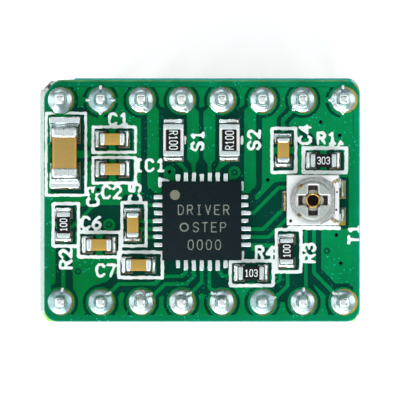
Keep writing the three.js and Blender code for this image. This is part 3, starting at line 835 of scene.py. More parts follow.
# Wide tracks from the motor pins down to the chip, as outlines.
WIDE_TRACKS = [
    [(-3.43, 5.6), (-3.43, 1.0), (-2.93, 0.48), (-2.5, 0.48), (-2.5, 1.2), (-2.69, 1.45), (-2.69, 5.72),
     (-3.0, 6.05), (-3.5, 6.0)],
    [(-0.93, 5.5), (-0.93, 2.62), (-0.64, 2.3), (-0.64, 1.7), (-0.38, 1.7), (-0.38, 2.3), (-0.18, 2.66),
     (-0.18, 5.62), (-0.52, 5.98), (-1.0, 5.95)],
    [(0.1, 5.62), (0.1, 2.66), (0.36, 2.3), (0.36, 1.7), (0.62, 1.7), (0.62, 2.3), (0.86, 2.62),
     (0.86, 5.5), (1.0, 5.95), (0.5, 5.98)],
    [(2.65, 5.72), (2.65, 1.2), (2.5, 1.1), (2.5, 0.48), (2.93, 0.48), (3.42, 1.0), (3.42, 5.6),
     (3.5, 6.0), (3.0, 6.05)],
    [(-1.78, 2.5), (-1.2, 2.5), (-1.15, 2.3), (-0.88, 2.0), (-0.88, 1.7), (-1.14, 1.7), (-1.14, 1.95)],
    [(1.15, 2.5), (1.8, 2.5), (1.72, 2.4), (1.3, 2.12), (1.12, 1.95), (1.12, 1.7), (0.86, 1.7), (0.86, 2.02)],
    [(-2.42, 1.7), (-2.3, 1.2), (-1.7, 1.25), (-1.64, 1.8)],
    [(1.66, 1.8), (1.72, 1.3), (2.1, 1.38), (2.4, 1.7)],
    [(3.1, -2.64), (4.55, -2.64), (4.55, -2.9), (3.36, -2.95), (3.34, -3.12), (3.1, -3.12)],
    [(4.6, -4.5), (5.02, -4.5), (5.04, -4.85), (4.82, -5.16), (4.55, -5.16)],
]

# Narrow tracks: centre lines with a width.
TRACKS = [
    ([(-8.72, 6.2), (-8.7, 4.9)], 1.0),
    ([(6.35, 6.35), (5.55, 5.55), (5.1, 5.08), (5.1, 4.2)], 0.27),
    ([(5.4, 0.86), (4.85, 0.86), (3.24, -0.75), (2.9, -0.75)], TRACE),
    ([(5.2, -0.4), (3.85, -1.75), (2.9, -1.75)], TRACE),
    ([(5.45, -1.0), (4.2, -2.25), (2.9, -2.25)], TRACE),
    ([(-1.0, -4.2), (-1.0, -4.47), (-1.25, -4.72), (-2.4, -4.72), (-2.5, -4.75), (-2.95, -5.2), (-5.22, -5.2),
      (-6.35, -6.3)], TRACE),
    ([(-0.5, -4.2), (-0.5, -4.72), (-0.98, -5.2), (-2.3, -5.2), (-3.5, -6.35)], TRACE),
    ([(0, -4.2), (0, -5.1), (-1.2, -6.3)], TRACE),
    ([(0.48, -4.2), (0.48, -5.42), (1.2, -6.2)], TRACE),
    ([(0.98, -4.2), (1.28, -4.7), (2.2, -4.7)], TRACE),
    ([(5.4, -3.9), (5.4, -5.3), (4.4, -6.3)], TRACE),
    ([(6.54, -1.6), (6.54, -6.0)], TRACE),
    ([(7.05, -1.6), (7.05, -4.5), (8.8, -6.25)], TRACE),
    ([(-8.7, -2.4), (-8.7, -6.0)], 0.28),
    ([(-2.9, -0.25), (-3.6, -0.25)], TRACE),
    ([(-2.9, -1.25), (-3.85, -1.25)], TRACE),
    ([(-2.9, -1.75), (-3.85, -1.75)], TRACE),
    ([(-2.9, -2.25), (-3.6, -2.25)], TRACE),
    ([(-6.8, -0.3), (-8.2, -1.65)], 0.22),
    ([(-7.9, 2.95), (-7.2, 2.95)], 0.5),
    ([(6.17, 1.5), (6.17, 3.35), (6.5, 3.85), (6.85, 3.4), (6.85, 2.9)], 0.27),
]

# Ground copper: outlines of the areas, before clearances are cut from them.
GROUND = [
    [(-9.72, 5.9), (9.72, 5.9), (9.72, 7.23), (-9.72, 7.23)],
    [(-7.15, 6.3), (-7.15, -0.25), (-5.15, -0.25), (-4.9, 0.42), (-3.52, 0.42), (-3.82, 0.62), (-3.82, 5.22),
     (-4.0, 6.3)],
    [(-9.72, 7.2), (-9.72, -5.25), (-9.35, -5.25), (-9.18, -5.12), (-9.18, -2.0), (-7.6, -0.35),
     (-6.9, -0.25), (-7.1, 0.3), (-8.4, 0.3), (-9.4, 0.6), (-9.4, 6.5), (-9.0, 7.2)],
    [(-8.17, -1.9), (-5.2, -1.9), (-5.2, -4.4), (-5.45, -4.55), (-6.0, -5.1), (-6.4, -5.2), (-7.4, -7.22),
     (-8.1, -7.22), (-8.1, -5.3)],
    [(3.78, 6.3), (3.78, 1.05), (3.7, 0.75), (3.33, 0.38), (3.33, 0.1), (3.52, 0.1), (4.4, 1.02), (4.6, 1.2),
     (9.0, 1.2), (9.22, 1.7), (9.22, -1.7), (7.5, -1.7), (7.5, -4.26), (8.4, -5.18), (9.3, -5.18),
     (9.3, -7.22), (9.72, -7.22), (9.72, 7.2), (5.0, 7.2)],
    [(-5.45, -7.22), (-5.45, -6.3), (-5.1, -5.72), (-4.9, -5.72), (-4.65, -6.3), (-4.65, -7.22)],
    [(-2.98, -7.22), (-2.98, -6.2), (-2.6, -5.8), (-2.1, -6.2), (-2.1, -7.22)],
    [(-0.62, -7.22), (-0.62, -6.4), (-0.1, -5.78), (0.1, -5.78), (0.62, -6.4), (0.62, -7.22)],
    [(1.9, -7.22), (1.9, -6.2), (1.7, -5.1), (3.3, -5.1), (3.1, -6.2), (3.1, -7.22)],
    [(4.55, -7.22), (4.55, -6.45), (5.1, -6.3), (5.65, -6.45), (5.65, -7.22)],
    [(6.98, -5.22), (7.14, -5.28), (7.86, -6.0), (7.95, -7.22), (7.1, -7.22), (7.3, -5.9)],
]
OPEN_GROUND = [
    [(-7.5, -0.35), (-5.2, -0.35), (-5.2, -1.9), (-7.5, -1.9)],
    [(6.0, 4.5), (6.9, 4.25), (7.3, 3.6), (6.9, 3.4), (6.2, 4.2)],
]
# Where the ground copper runs up to a pin, as directions in degrees, and where it has no gap.
GROUND_BRIDGES = {"a2": (0, 90, 180, 270), "a8": (0, 45, 90, 180, 270)}
BRIDGE_REACH = 1.3
SOLID_GROUND = (8.95, 9.72, 5.3, 7.2)

# Legend: component frames as x0, x1, y0, y1, then line width.
FRAMES = [
    (-9.86, -7.2, 0.28, 5.62, 0.18),
    (-6.94, -4.06, 2.96, 4.76, 0.2),
    (-6.94, -4.06, 1.04, 2.84, 0.2),
    (-5.12, -3.4, -2.92, 0.0, 0.2),
    (-7.86, -5.02, -3.62, -1.85, 0.22),
    (-5.33, -2.36, -4.92, -3.1, 0.22),
    (4.3, 6.02, 1.7, 4.68, 0.22),
    (6.26, 9.2, 1.68, 3.46, 0.25),
    (-9.44, -7.64, -2.93, -0.05, 0.22),
    (4.58, 6.34, -4.55, -1.68, 0.22),
    (1.68, 4.6, -5.42, -3.65, 0.22),
]
LABELS = [
    ("C1", -5.25, 5.14, 0.7, 0),
    ("C2", -5.66, 0.56, 0.72, 0),
    ("C3", -6.85, 0.28, 0.7, 90),
    ("IC1", -3.28, 2.25, 0.72, 0),
    ("C5", -4.2, 0.48, 0.7, 90),
    ("C6", -6.95, -1.36, 0.72, 0),
    ("C7", -6.02, -4.35, 0.72, 0),
    ("C4", 6.5, 4.18, 0.7, 90),
    ("S1", -0.27, 3.78, 0.72, 90),
    ("S2", 3.28, 3.85, 0.72, 90),
    ("R1", 7.85, 3.95, 0.7, 0),
    ("R2", -8.55, -3.65, 0.7, 90),
    ("R3", 6.75, -3.25, 0.7, 90),
    ("R4", 3.97, -3.2, 0.7, 0),
    ("T1", 9.56, -2.1, 0.66, 90),
]
# The corner marks of the driver chip, marks beside the sense resistors, the trimmer's edge line.
MARKS = [
    ([(-2.62, 0.98), (-2.66, 1.38), (-2.15, 1.26)], 0.25),
    ([(2.56, 0.7), (2.56, 1.18)], 0.14),
    ([(2.58, -3.18), (2.58, -3.75)], 0.15),
    ([(-1.05, 3.6), (-1.05, 4.06)], 0.15),
    ([(2.52, 3.62), (2.52, 4.06)], 0.16),
    ([(5.5, -1.68), (8.64, -1.68)], 0.26),
]
# The small arrow above the resistor beside the trimmer.
LEGEND_ARROW = [(8.58, 3.56), (8.88, 3.56), (8.72, 3.8)]
# Where the mask's lip is olive, and bare spots that shine at the board's right corners.
BACK_LIP = (-9.25, 9.2, 7.3, 8.0)
GLINTS = [([(9.62, 7.33), (9.78, 7.16), (9.86, 6.98)], 0.07), ([(9.70, -7.28), (9.84, -7.08)], 0.07)]


def mask_area():
    return BOARD_PLAN.blank().polygon(MASK_OUTLINE, MASK_ROUND)


def mask_strip(width):
    """The mask within a distance of its edge."""
    return mask_area().minus(mask_area(), -width)


def discs(places, radius):
    plan = BOARD_PLAN.blank()
    for x, y in places:
        plan.disc(x, y, radius)
    return plan


def pin_discs(radius):
    return discs([(x, y) for x, y, _ in PINS.values()], radius)


def rectangles(boxes, grow=0.0, corner=0.0):
    plan = BOARD_PLAN.blank()
    for x0, x1, y0, y1 in boxes:
        plan.rectangle(x0 - grow, x1 + grow, y0 - grow, y1 + grow, corner)
    return plan


def polygons(outlines):
    plan = BOARD_PLAN.blank()
    for outline in outlines:
        plan.polygon(outline)
    return plan


def strokes(lines):
    plan = BOARD_PLAN.blank()
    for points, width in lines:
        plan.stroke(points, width)
    return plan


def chip_lands(node):
    """The two solder lands of a chip part."""
    x, y, _ = centre_mm(node)
    low, high = box_mm(node)
    half_length, half_width, length = LAND_SIZES.get(node, SMALL_LANDS)
    lands = []
    for side in (-1, 1):
        near, far = sorted((side * half_length, side * (half_length - length)))
        if high[0] - low[0] > high[1] - low[1]:
            lands.append((x + near, x + far, y - half_width, y + half_width))
        else:
            lands.append((x - half_width, x + half_width, y + near, y + far))
    return lands


def driver_lands():
    (x0, y0, _), (x1, y1, _) = DRIVER_LOW, DRIVER_HIGH
    half = LEAD_WIDTH / 2
    lands = []
    for offset, back, front, left, right in zip(LEAD_OFFSETS, *LEAD_REACH.values()):
        x, y = DRIVER_X + offset, DRIVER_Y + offset
        lands.append((x - half, x + half, y1 - UNDER_BODY, y1 + back))
        lands.append((x - half, x + half, y0 - front, y0 + UNDER_BODY))
        lands.append((x0 - left, x0 + UNDER_BODY, y - half, y + half))
        lands.append((x1 - UNDER_BODY, x1 + right, y - half, y + half))
    return lands


ALL_LANDS = [land for node in CAPACITORS + RESISTORS + SENSE for land in chip_lands(node)] + TRIMMER_LANDS


def top_copper():
    signal = polygons(WIDE_TRACKS).union(strokes(TRACKS)).union(discs(TRACK_VIAS, VIA_RING))
    copper = polygons(GROUND).minus(polygons(OPEN_GROUND))
    copper.minus(pin_discs(PIN_GAP_RADIUS)).minus(signal, CLEARANCE)
    copper.minus(rectangles(ALL_LANDS), LAND_CLEARANCE)
    bridges = []
    for name, directions in GROUND_BRIDGES.items():
        x, y, _ = PINS[name]
        for degrees in directions:
            bridges.append((placed([(0, 0), (BRIDGE_REACH, 0)], x, y, math.radians(degrees)), 0.34))
    copper.union(strokes(bridges)).union(rectangles([SOLID_GROUND]))
    copper.union(signal).union(pin_discs(PIN_RING_RADIUS))
    copper.minus(pin_discs(PIN_PAD_RADIUS - 0.01)).minus(rectangles(ALL_LANDS, 0.03))
    copper.minus(discs(OPEN_VIAS + TENTED_VIAS, VIA_RADIUS + 0.03))
    return copper.within(mask_area(), EDGE_MARGIN).soften(0.05).roughen(0.008, 0.35, 11)


def legend():
    plan = strokes(MARKS)
    for x0, x1, y0, y1, line in FRAMES:
        half = line / 2
        x0, x1, y0, y1 = x0 + half, x1 - half, y0 + half, y1 - half
        plan.stroke([(x0, y0), (x1, y0), (x1, y1), (x0, y1), (x0, y0)], line)
    plan.polygon(LEGEND_ARROW, 0.06)
    for text, x, y, height, turn in LABELS:
        write(plan, text, x, y, height, turn, line=0.19)
    plan.soften(0.075).roughen(0.028, 0.16, 5)
    plan.minus(pin_discs(PIN_PAD_RADIUS + 0.08)).minus(rectangles(ALL_LANDS, 0.02))
    plan.minus(discs(OPEN_VIAS, VIA_RADIUS + 0.09)).minus(rectangles(driver_lands()), 0.04)
    return plan.within(mask_area(), 0.02)


def make_board():
    laminate_shell()
    holes = pin_discs(PIN_PAD_RADIUS).union(discs(OPEN_VIAS, VIA_RADIUS))
    sheet = mask_area().minus(holes).minus(rectangles(ALL_LANDS, 0.01))
    layer("mask_top", sheet, TOP, [(0, -0.005), (0, 0.006), (0.01, MASK_HEIGHT)], "mask")
    rim = mask_strip(RIM_WIDTH).within(mask_area(), 0.03).soften(0.03)
    layer("mask_rim", rim, TOP, [(0, 0), (0.01, MASK_HEIGHT + 0.006)], "edge")
    lip = mask_strip(LIP_WIDTH).roughen(0.01, 0.25, 23)
    back = rectangles([BACK_LIP])
    rings = [(0, -0.02), (0.008, MASK_HEIGHT + 0.012)]
    layer("mask_lip", lip.copy().minus(back), TOP, rings, "lip", 0.004)
    layer("mask_back_lip", lip.within(back), TOP, rings, "olive", 0.004)
    glints = strokes(GLINTS).within(mask_area(), 0.01)
    layer("mask_glints", glints, TOP, [(0, 0), (0.01, MASK_HEIGHT + 0.02)], "bright_pad")
    layer("copper_top", top_copper(), TOP, COPPER_RINGS, "copper")
    rings = [(0, 0), (0.008, 0.75 * LEGEND_HEIGHT), (0.03, LEGEND_HEIGHT)]
    layer("legend_top", legend(), TOP, rings, "legend")
    end_pins = [f"{row}{PIN_COUNT}" for row in ROWS]
    other_pins = [name for name in PINS if name not in end_pins]
    for label, names, (dx, dy), key in (("", other_pins, PAD_SHIFT, "gold_pad"),
                                        ("_end", end_pins, END_PAD_SHIFT, "bright_pad")):
        pads = discs([(PINS[name][0] + dx, PINS[name][1] + dy) for name in names], PIN_PAD_RADIUS)
        pads.minus(pin_discs(PIN_HOLE_RADIUS)).roughen(0.008, 0.3, 3)
        layer(f"pin_pads_top{label}", pads, TOP, [(0, -0.01), (0, 0.02), (0.015, PAD_HEIGHT)], key)
    # The lands are dark bare copper: painted shade, which shows at their right and front edges past the
    # solder.
    lands = rectangles(ALL_LANDS).roughen(0.01, 0.3, 4)
    layer("chip_lands", lands, TOP, [(0, -0.01), (0, 0.015), (0.012, 0.03)], "bare_pad")
    lands = rectangles(TRIMMER_LANDS).roughen(0.012, 0.25, 41)
    layer("trimmer_lands", lands, TOP, [(0, 0.01), (0, 0.03), (0.012, 0.04)], "land")
    via_walls()


def board_outline():
    """The edge of the CAD board's upper face, as a closed loop in millimetres."""
    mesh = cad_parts["circuit_board"].data
    merged = {}

    def corner(index):
        x, y, _ = mesh.vertices[index].co
        return merged.setdefault((round(x / MM, 3), round(y / MM, 3)), (x / MM, y / MM))

    sides = set()
    for polygon in mesh.polygons:
        if polygon.normal.z > 0.9 and polygon.center.z / MM > TOP - 0.01:
            ring = [corner(index) for index in polygon.vertices]
            sides.update(zip(ring, ring[1:] + ring[:1]))
    loops = chained({a: b for a, b in sides if (b, a) not in sides})
    return max(loops, key=lambda loop: max(x for x, _ in loop) - min(x for x, _ in loop))


# Where the broken edge is stained green, where it is bright resin, and where it is painted near-black.
BACK_EDGE = 7.56
FRONT_EDGE = -7.02
CORNER_X = 9.3
DARKENED_CORNER = (-9.5, 7.05)
# How far from each face the scored slopes reach, and the edge's (height, share of its reach).
SLOPE = 0.4
EDGE_STATIONS = [
    (UNDER, 0), (UNDER + SLOPE, 0.9), (UNDER + 0.5, 1), (TOP - 0.5, 1), (TOP - SLOPE, 0.92), (TOP, 0),
]


def laminate_shell():
    """The board's edge: square where it was routed, and a broken web between two scored slopes
    where it was snapped from its neighbours."""
    outline = board_outline()
    points = densified(mask_area().outlines(0.004)[0], 0.12)
    along = np.roll(points, -1, axis=0) - np.roll(points, 1, axis=0)
    outward = np.column_stack((along[:, 1], -along[:, 0])) / np.hypot(*along.T)[:, None]
    # How far out each point's normal meets the board's edge.
    reach = np.zeros(len(points))
    for start, end in zip(outline, outline[1:] + outline[:1]):
        edge = np.subtract(end, start)
        offset = np.array(start) - points
        cross = outward[:, 0] * edge[1] - outward[:, 1] * edge[0]
        safe = np.where(np.abs(cross) < 1e-9, 1e-9, cross)
        t = (offset[:, 0] * edge[1] - offset[:, 1] * edge[0]) / safe
        u = (offset[:, 0] * outward[:, 1] - offset[:, 1] * outward[:, 0]) / safe
        hit = (np.abs(cross) > 1e-9) & (u >= 0) & (u <= 1) & (t > 0) & (t < 0.7)
        reach = np.where(hit, np.maximum(reach, t), reach)
    dice = np.random.default_rng(8)
    vertices = []
    for height, share in EDGE_STATIONS:
        jitter = 0.007 * dice.standard_normal(len(points)) if share else 0
        out = np.clip(reach * share - np.abs(jitter) * (reach > 0.05), 0, None)
        vertices += [(x, y, height) for x, y in (points + outward * out[:, None]).tolist()]
    rings = np.arange(len(vertices)).reshape(len(EDGE_STATIONS), -1).tolist()
    shape = Shape().add(vertices, bands(rings), flat=True)
    for index, face in enumerate(shape.faces):
        x, y, z = (sum(shape.vertices[i][axis] for i in face) / len(face) for axis in range(3))
        if z < TOP - SLOPE:
            continue
        if y > BACK_EDGE:
            shape.paints[index] = 1
        elif y < FRONT_EDGE and abs(x) > CORNER_X:
            shape.paints[index] = 2
        elif y > DARKENED_CORNER[1] and x < DARKENED_CORNER[0]:
            shape.paints[index] = 3
    core = mask_area().minus(pin_discs(PIN_HOLE_RADIUS).union(discs(OPEN_VIAS, VIA_RADIUS)))
    shape.add_shape(raised(core, [(0, UNDER), (0, TOP)]))
    piece("board_laminate", shape, ["laminate", "stained", "lime", "soot"],
          replaces=["circuit_board"])


def via_walls():
    """Plated rims of the open vias and the plugged dimples of the tented ones."""
    plated = [(0.1, 0.052), (0.05, 0.055), (0.015, 0.03), (-0.02, 0.01)]
    profile = [(VIA_RADIUS + r, TOP + z) for r, z in plated] + [(VIA_RADIUS - 0.02, UNDER)]
    shape = Shape()
    for via in OPEN_VIAS:
        shape.add_shape(lathe(profile, 20, via))
    piece("via_rims", shape, "edge")
    ring = [(0.2, TOP + 0.05), (0.16, TOP + 0.055), (0.12, TOP + 0.04), (0.1, TOP + 0.03)]
    plug = [(0.1, TOP + 0.03), (0.06, TOP + 0.035), (0, TOP + 0.036)]
    shape = Shape()
    for via in TENTED_VIAS:
        shape.add_shape(lathe(ring, 20, via)).add_shape(lathe(plug, 20, via, 1))
    piece("via_plugs", shape, ["mask", "copper"])


# ------------------------------------------------------------------ pins, headers and joints

# Directions, in degrees, in which a tongue of solder runs from each joint along its track.
TONGUES = {
    "a1": (275,), "a2": (0, 90, 180, 270), "a3": (312,), "a4": (312,), "a5": (228,), "a6": (228,),
    "a7": (225,), "a8": (90, 180, 270),
    "b1": (80,), "b2": (45,), "b3": (40,), "b4": (45,), "b5": (135,), "b6": (20,), "b7": (85,), "b8": (135,),
}
# Half widths of the tongues in radians; the joints on the wide motor tracks have wide ones.
TONGUE = 0.15
WIDE_TONGUES = {"a1": 0.6, "a3": 0.42, "a4": 0.42, "a5": 0.42, "a6": 0.36}
TONGUE_REACH = 0.13
# A joint's rim lies a little to the left of its pin.
JOINT_SHIFT = -0.02
# A flat drop of solder lies on each narrow tongue: its inner and outer radius, and its sizes.
DROP_RADII = (0.6, 0.94)
DROP_HALF_WIDTH = 0.085
DROP_HEIGHT = 0.11
DROP_CORNER = 0.03

# A joint's outline from its rim inwards: radius, and height above the pad.
JOINT_PROFILE = [
    (0.790, 0.000), (0.788, 0.035), (0.776, 0.068), (0.752, 0.098), (0.718, 0.124), (0.675, 0.147),
    (0.625, 0.168), (0.572, 0.187), (0.520, 0.204), (0.475, 0.222), (0.440, 0.250), (0.415, 0.300),
    (0.397, 0.375), (0.384, 0.465), (0.374, 0.560), (0.364, 0.650),
]
JOINT_SEGMENTS = 96
JOINT_BASE = TOP + 0.015
# Where a joint meets its pin: half of its width, and its radius at the corners.
JOINT_TOP_HALF = 0.335
JOINT_TOP_CORNER = 0.41
# A pin's sections as half width, corner radius, and height above its point or below its tip.
PIN_HALF = 0.32
PIN_CORNER = 0.05
PIN_CORNER_POINTS = 5
PIN_POINT = [(0.15, PIN_CORNER, 0), (0.19, PIN_CORNER, 0.05), (0.315, PIN_CORNER, 0.5),
             (PIN_HALF, PIN_CORNER, 0.56)]
PIN_TIP = [
    (PIN_HALF, PIN_CORNER, 0.62), (PIN_HALF, 0.12, 0.44), (0.314, 0.18, 0.26), (0.298, 0.20, 0.16),
    (0.27, 0.20, 0.09), (0.232, 0.18, 0.045), (0.185, 0.15, 0.016), (0.12, 0.10, 0),
]
DULL_JOINTS = ("a2", "b1", "b2", "b6")


def solder_joint(name, x, y, dice):
    """A skirt of solder that climbs a square pin, with flat tongues where tracks leave the pad."""
    lean_x, lean_y = dice.uniform(-0.03, 0.03, 2)
    wobble = dice.uniform(0, 2 * math.pi, 4)
    width = WIDE_TONGUES.get(name, TONGUE)
    rings = []
    for radius, height in JOINT_PROFILE:
        share = height / JOINT_PROFILE[-1][1]
        shelf = max(0.0, 1 - share / 0.3)
        ring = []
        for k in range(JOINT_SEGMENTS):
            angle = 2 * math.pi * k / JOINT_SEGMENTS
            tongue = 0.0
            for degrees in TONGUES[name]:
                turn = (angle - math.radians(degrees) + math.pi) % (2 * math.pi) - math.pi
                tongue = max(tongue, math.exp(-((abs(turn) / width) ** 6)))
            # The ring is round at the rim, and a square with its corners cut off at the pin.
            square = min(JOINT_TOP_HALF / max(abs(math.cos(angle)), abs(math.sin(angle))), JOINT_TOP_CORNER)
            r = radius * (1 - share ** 2) + square * share ** 2
            r *= 1 + 0.008 * math.sin(2 * angle + wobble[0]) + 0.006 * math.sin(3 * angle + wobble[1])
            r += TONGUE_REACH * tongue * shelf ** 0.7
            z = height * (1 + 0.06 * math.sin(angle + wobble[2])) * (1 - 0.8 * tongue * shelf ** 0.5)
            z += 0.006 * math.sin(5 * angle + wobble[3]) * share
            middle_x = x + JOINT_SHIFT * (1 - share) + lean_x * share
            middle_y = y + lean_y * share
            ring.append((middle_x + r * math.cos(angle), middle_y + r * math.sin(angle), JOINT_BASE + z))
        rings.append(ring)
    return loft(rings, flat_caps=False)


def solder_drop(x, y, degrees):
    """A flat drop of solder that points away from a joint."""
    inner, outer = DROP_RADII
    rings = []
    for inset, level in ((0, 0), (0, 0.6), (0.015, 0.88), (0.04, 1)):
        w, far = DROP_HALF_WIDTH - inset, outer - inset
        side = [(inner, w), (far - DROP_CORNER, w), (far, w - DROP_CORNER)]
        around = placed([(u, -v) for u, v in side] + side[::-1], x, y, math.radians(degrees))
        rings.append([(u, v, JOINT_BASE + level * DROP_HEIGHT) for u, v in around])
    return loft(rings, paint=1)


def square_ring(x, y, half, corner, z):
    """A square section with round corners, which is a circle once corner equals half."""
    c = half - corner
    ring = []
    for k in range(PIN_CORNER_POINTS * 4):
        quarter, step = divmod(k, PIN_CORNER_POINTS)
        angle = math.pi / 2 * (quarter + step / (PIN_CORNER_POINTS - 1))
        u, v = ((c, c), (-c, c), (-c, -c), (c, -c))[quarter]
        ring.append((x + u + corner * math.cos(angle), y + v + corner * math.sin(angle), z))
    return ring


def header_pin(x, y, low, high):
    """A square pin, pointed below, whose tinned tip is a round nub."""
    stations = [(half, corner, low + rise) for half, corner, rise in PIN_POINT]
    stations.append((PIN_HALF, PIN_CORNER, TOP - 0.05))
    stations += [(half, corner, high - drop) for half, corner, drop in PIN_TIP]
    shape = loft([square_ring(x, y, *station) for station in stations], flat_caps=False)
    for index, face in enumerate(shape.faces):
        if min(shape.vertices[i][2] for i in face) > TOP - 0.1:
            shape.paints[index] = 1
    return shape


def make_pins():
    dice = np.random.default_rng(21)
    for name, (x, y, _) in PINS.items():
        low, high = box_mm(f"pin_{name}")
        piece(f"header_pin_{name}", header_pin(x, y, low[2], high[2]), ["pin", "pin_tip"],
              replaces=[f"pin_{name}"], sharp=50)
        joint = solder_joint(name, x, y, dice)
        for degrees in TONGUES[name] if name not in WIDE_TONGUES else ():
            joint.add_shape(solder_drop(x + JOINT_SHIFT, y, degrees))
        finish = "dull_joint" if name in DULL_JOINTS else "joint"
        piece(f"solder_joint_{name}", joint, [finish, "pin_tip"], replaces=[f"solder_{name}"],
              sharp=75)


def make_housings():
    low, high = box_mm("header_housing_b")
    middle_y = (low[1] + high[1]) / 2
    half_width = (high[1] - low[1]) / 2
    notch = 0.42
    waist = half_width - notch
    side = [(low[0], -waist), (low[0] + notch, -half_width)]
    for index in range(1, PIN_COUNT):
        seam = (index - PIN_COUNT / 2) * PITCH
        side += [(seam - notch, -half_width), (seam, -waist), (seam + notch, -half_width)]
    side += [(high[0] - notch, -half_width), (high[0], -waist)]
    plan = Plan(low[0] - 0.3, high[0] + 0.3, -half_width - 0.3, half_width + 0.3, 0.03)
    plan.polygon(side + [(-x, -y) for x, y in side])
    pins = plan.blank()
    for index in range(PIN_COUNT):
        pins.bar((index - (PIN_COUNT - 1) / 2) * PITCH, 0, PIN_HALF + 0.01, PIN_HALF + 0.01)
    rings = [(0.07, low[2]), (0.02, low[2] + 0.02), (0, low[2] + 0.08), (0, high[2] - 0.08), (0.05, high[2])]
    shape = raised(plan.minus(pins), rings, 0.008)
    for row, sign in ROWS.items():
        row_shape = Shape().add_shape(shape, (0, sign * abs(middle_y), 0))
        piece(f"header_insulator_{row}", row_shape, "housing", replaces=[f"header_housing_{row}"],
              sharp=40)


# ------------------------------------------------------------------ chip parts

# The dark line of painted shade round the foot of a part, and how far solder lies off the lands.
CREVICE = 0.045
# The solder's shift leaves the lands' right and front edges bare, in painted shade.
LAND_SOLDER_SHIFT = (-0.03, 0.02)
# Capacitors: the body's inset and tone; the metal ends' length, (radius, drop) and material; and
# the solder's climb and reach.
SMALL_CAPACITOR = {"inset": 0.04, "tone": (0.48, 0.31, 0.052), "end": 0.37, "rounding": (0.17, 0.15),
                   "metal": "cap_end", "climb": (0.2, 0.17)}
CAPACITOR_STYLES = {
    "bulk_capacitor": {"inset": 0.06, "tone": (0.42, 0.27, 0.060), "end": 0.7, "rounding": (0.22, 0.22),
                       "metal": "rough_end", "climb": (0.4, 0.36)},
}


def footprint_distance(x, y, rectangle):
    x0, x1, y0, y1 = rectangle
    return np.hypot(np.maximum(np.maximum(x0 - x, x - x1), 0), np.maximum(np.maximum(y0 - y, y - y1), 0))


def box_plan(boxes, margin, step):
    """An empty plan with room for boxes given as x0, x1, y0, y1."""
    x0, x1, y0, y1 = (pick(sides) for pick, sides in zip((min, max, min, max), zip(*boxes)))
    return Plan(x0 - margin, x1 + margin, y0 - margin, y1 + margin, step)


def solder_lands(lands, chip, climb, reach, seed, film=0.1, corner=0.1):
    """Solder on lands, which climbs the metal ends of the part that stands on them."""
    plan = box_plan(lands, 0.2, 0.02)
    for land in lands:
        plan.rectangle(*land, corner=corner)
    plan.roughen(0.03, 0.22, seed)

    def height(x, y):
        inside = plan.sample(x, y)
        nearness = np.clip(1 - footprint_distance(x, y, chip) / reach, 0, 1)
        return TOP + 0.02 + film * rounded_edge(inside, 0.11) + climb * nearness ** 2 * eased(inside, 0, 0.12)

    # Solder next to the part's foot takes the second material: painted shade in the crevice.
    def paint(x, y):
        return footprint_distance(x, y, chip) < CREVICE

    x0, x1, y0, y1 = chip
    foot = box_plan([chip], 0.2, 0.02).polygon([(x0, y0), (x1, y0), (x1, y1), (x0, y1)], CREVICE)
    return moulded(plan, TOP, height, 0.045, paint=paint, creases=foot.outlines(0.002))


def chip_axes(low, high):
    """The axis that a chip part lies along, and the one across it."""
    return (0, 1) if high[0] - low[0] > high[1] - low[1] else (1, 0)


def end_boxes(low, high, axis, length):
    """The boxes of a chip part's two metal ends."""
    first_high, second_low = list(high), list(low)
    first_high[axis] = low[axis] + length
    second_low[axis] = high[axis] - length
    return (list(low), first_high), (second_low, list(high))


def chip_solder(node, climb, reach, dice):
    """The solder of a chip part, a little off its lands to the left and back."""
    low, high = box_mm(node)
    dx, dy = LAND_SOLDER_SHIFT
    lands = [(x0 + dx, x1 + dx, y0 + dy, y1 + dy) for x0, x1, y0, y1 in chip_lands(node)]
    shape = solder_lands(lands, (low[0], high[0], low[1], high[1]), climb, reach, int(dice.integers(1000)))
    piece(f"{node}_solder", shape, ["tin", "crevice"], sharp=80)


def pillow(low, high, radius, drop):
    """A metal end with a flat bottom whose top is rounded like a cushion."""
    plan = box_plan([(low[0], high[0], low[1], high[1])], 0.1, 0.015)
    plan.rectangle(low[0], high[0], low[1], high[1], 0.85 * radius)
    inner = plan.copy().within(plan, 0.5 * CREVICE)
    # The end's rim takes the crevice material: painted shade at its rounded edge.
    return moulded(plan, low[2], cushion(plan, high[2], drop, radius), 0.035, 0.003,
                   lambda x, y: plan.sample(x, y) < 0.5 * CREVICE, inner.outlines(0.002))


def make_capacitor(node, dice):
    low, high = box_mm(node)
    axis, across = chip_axes(low, high)
    style = CAPACITOR_STYLES.get(node, SMALL_CAPACITOR)
    body_low = [c + style["inset"] for c in low]
    body_high = [c - style["inset"] for c in high]
    half_width = (body_high[across] - body_low[across]) / 2
    material = capacitor_ceramic(f"{node}_ceramic", style["tone"], (0.55, 0.30, 0.045), half_width, across,
                                 (body_low[across] + body_high[across]) / 2)
    piece(f"{node}_body", bevelled_box(body_low, body_high, 0.05, 2), material,
          replaces=[node], sharp=60)
    ends = Shape()
    for end_low, end_high in end_boxes(low, high, axis, style["end"]):
        ends.add_shape(pillow(end_low, end_high, *style["rounding"]))
    piece(f"{node}_ends", ends, [style["metal"], "crevice"], sharp=80)
    chip_solder(node, *style["climb"], dice)


# Each resistor's value code and how far it is turned, in degrees.
VALUE_CODES = {
    "resistor_r1": ("303", 0), "resistor_r2": ("100", 90), "resistor_r3": ("100", 90),
    "resistor_r4": ("103", 0), "sense_resistor_s1": ("R100", 270), "sense_resistor_s2": ("R100", 90),
}


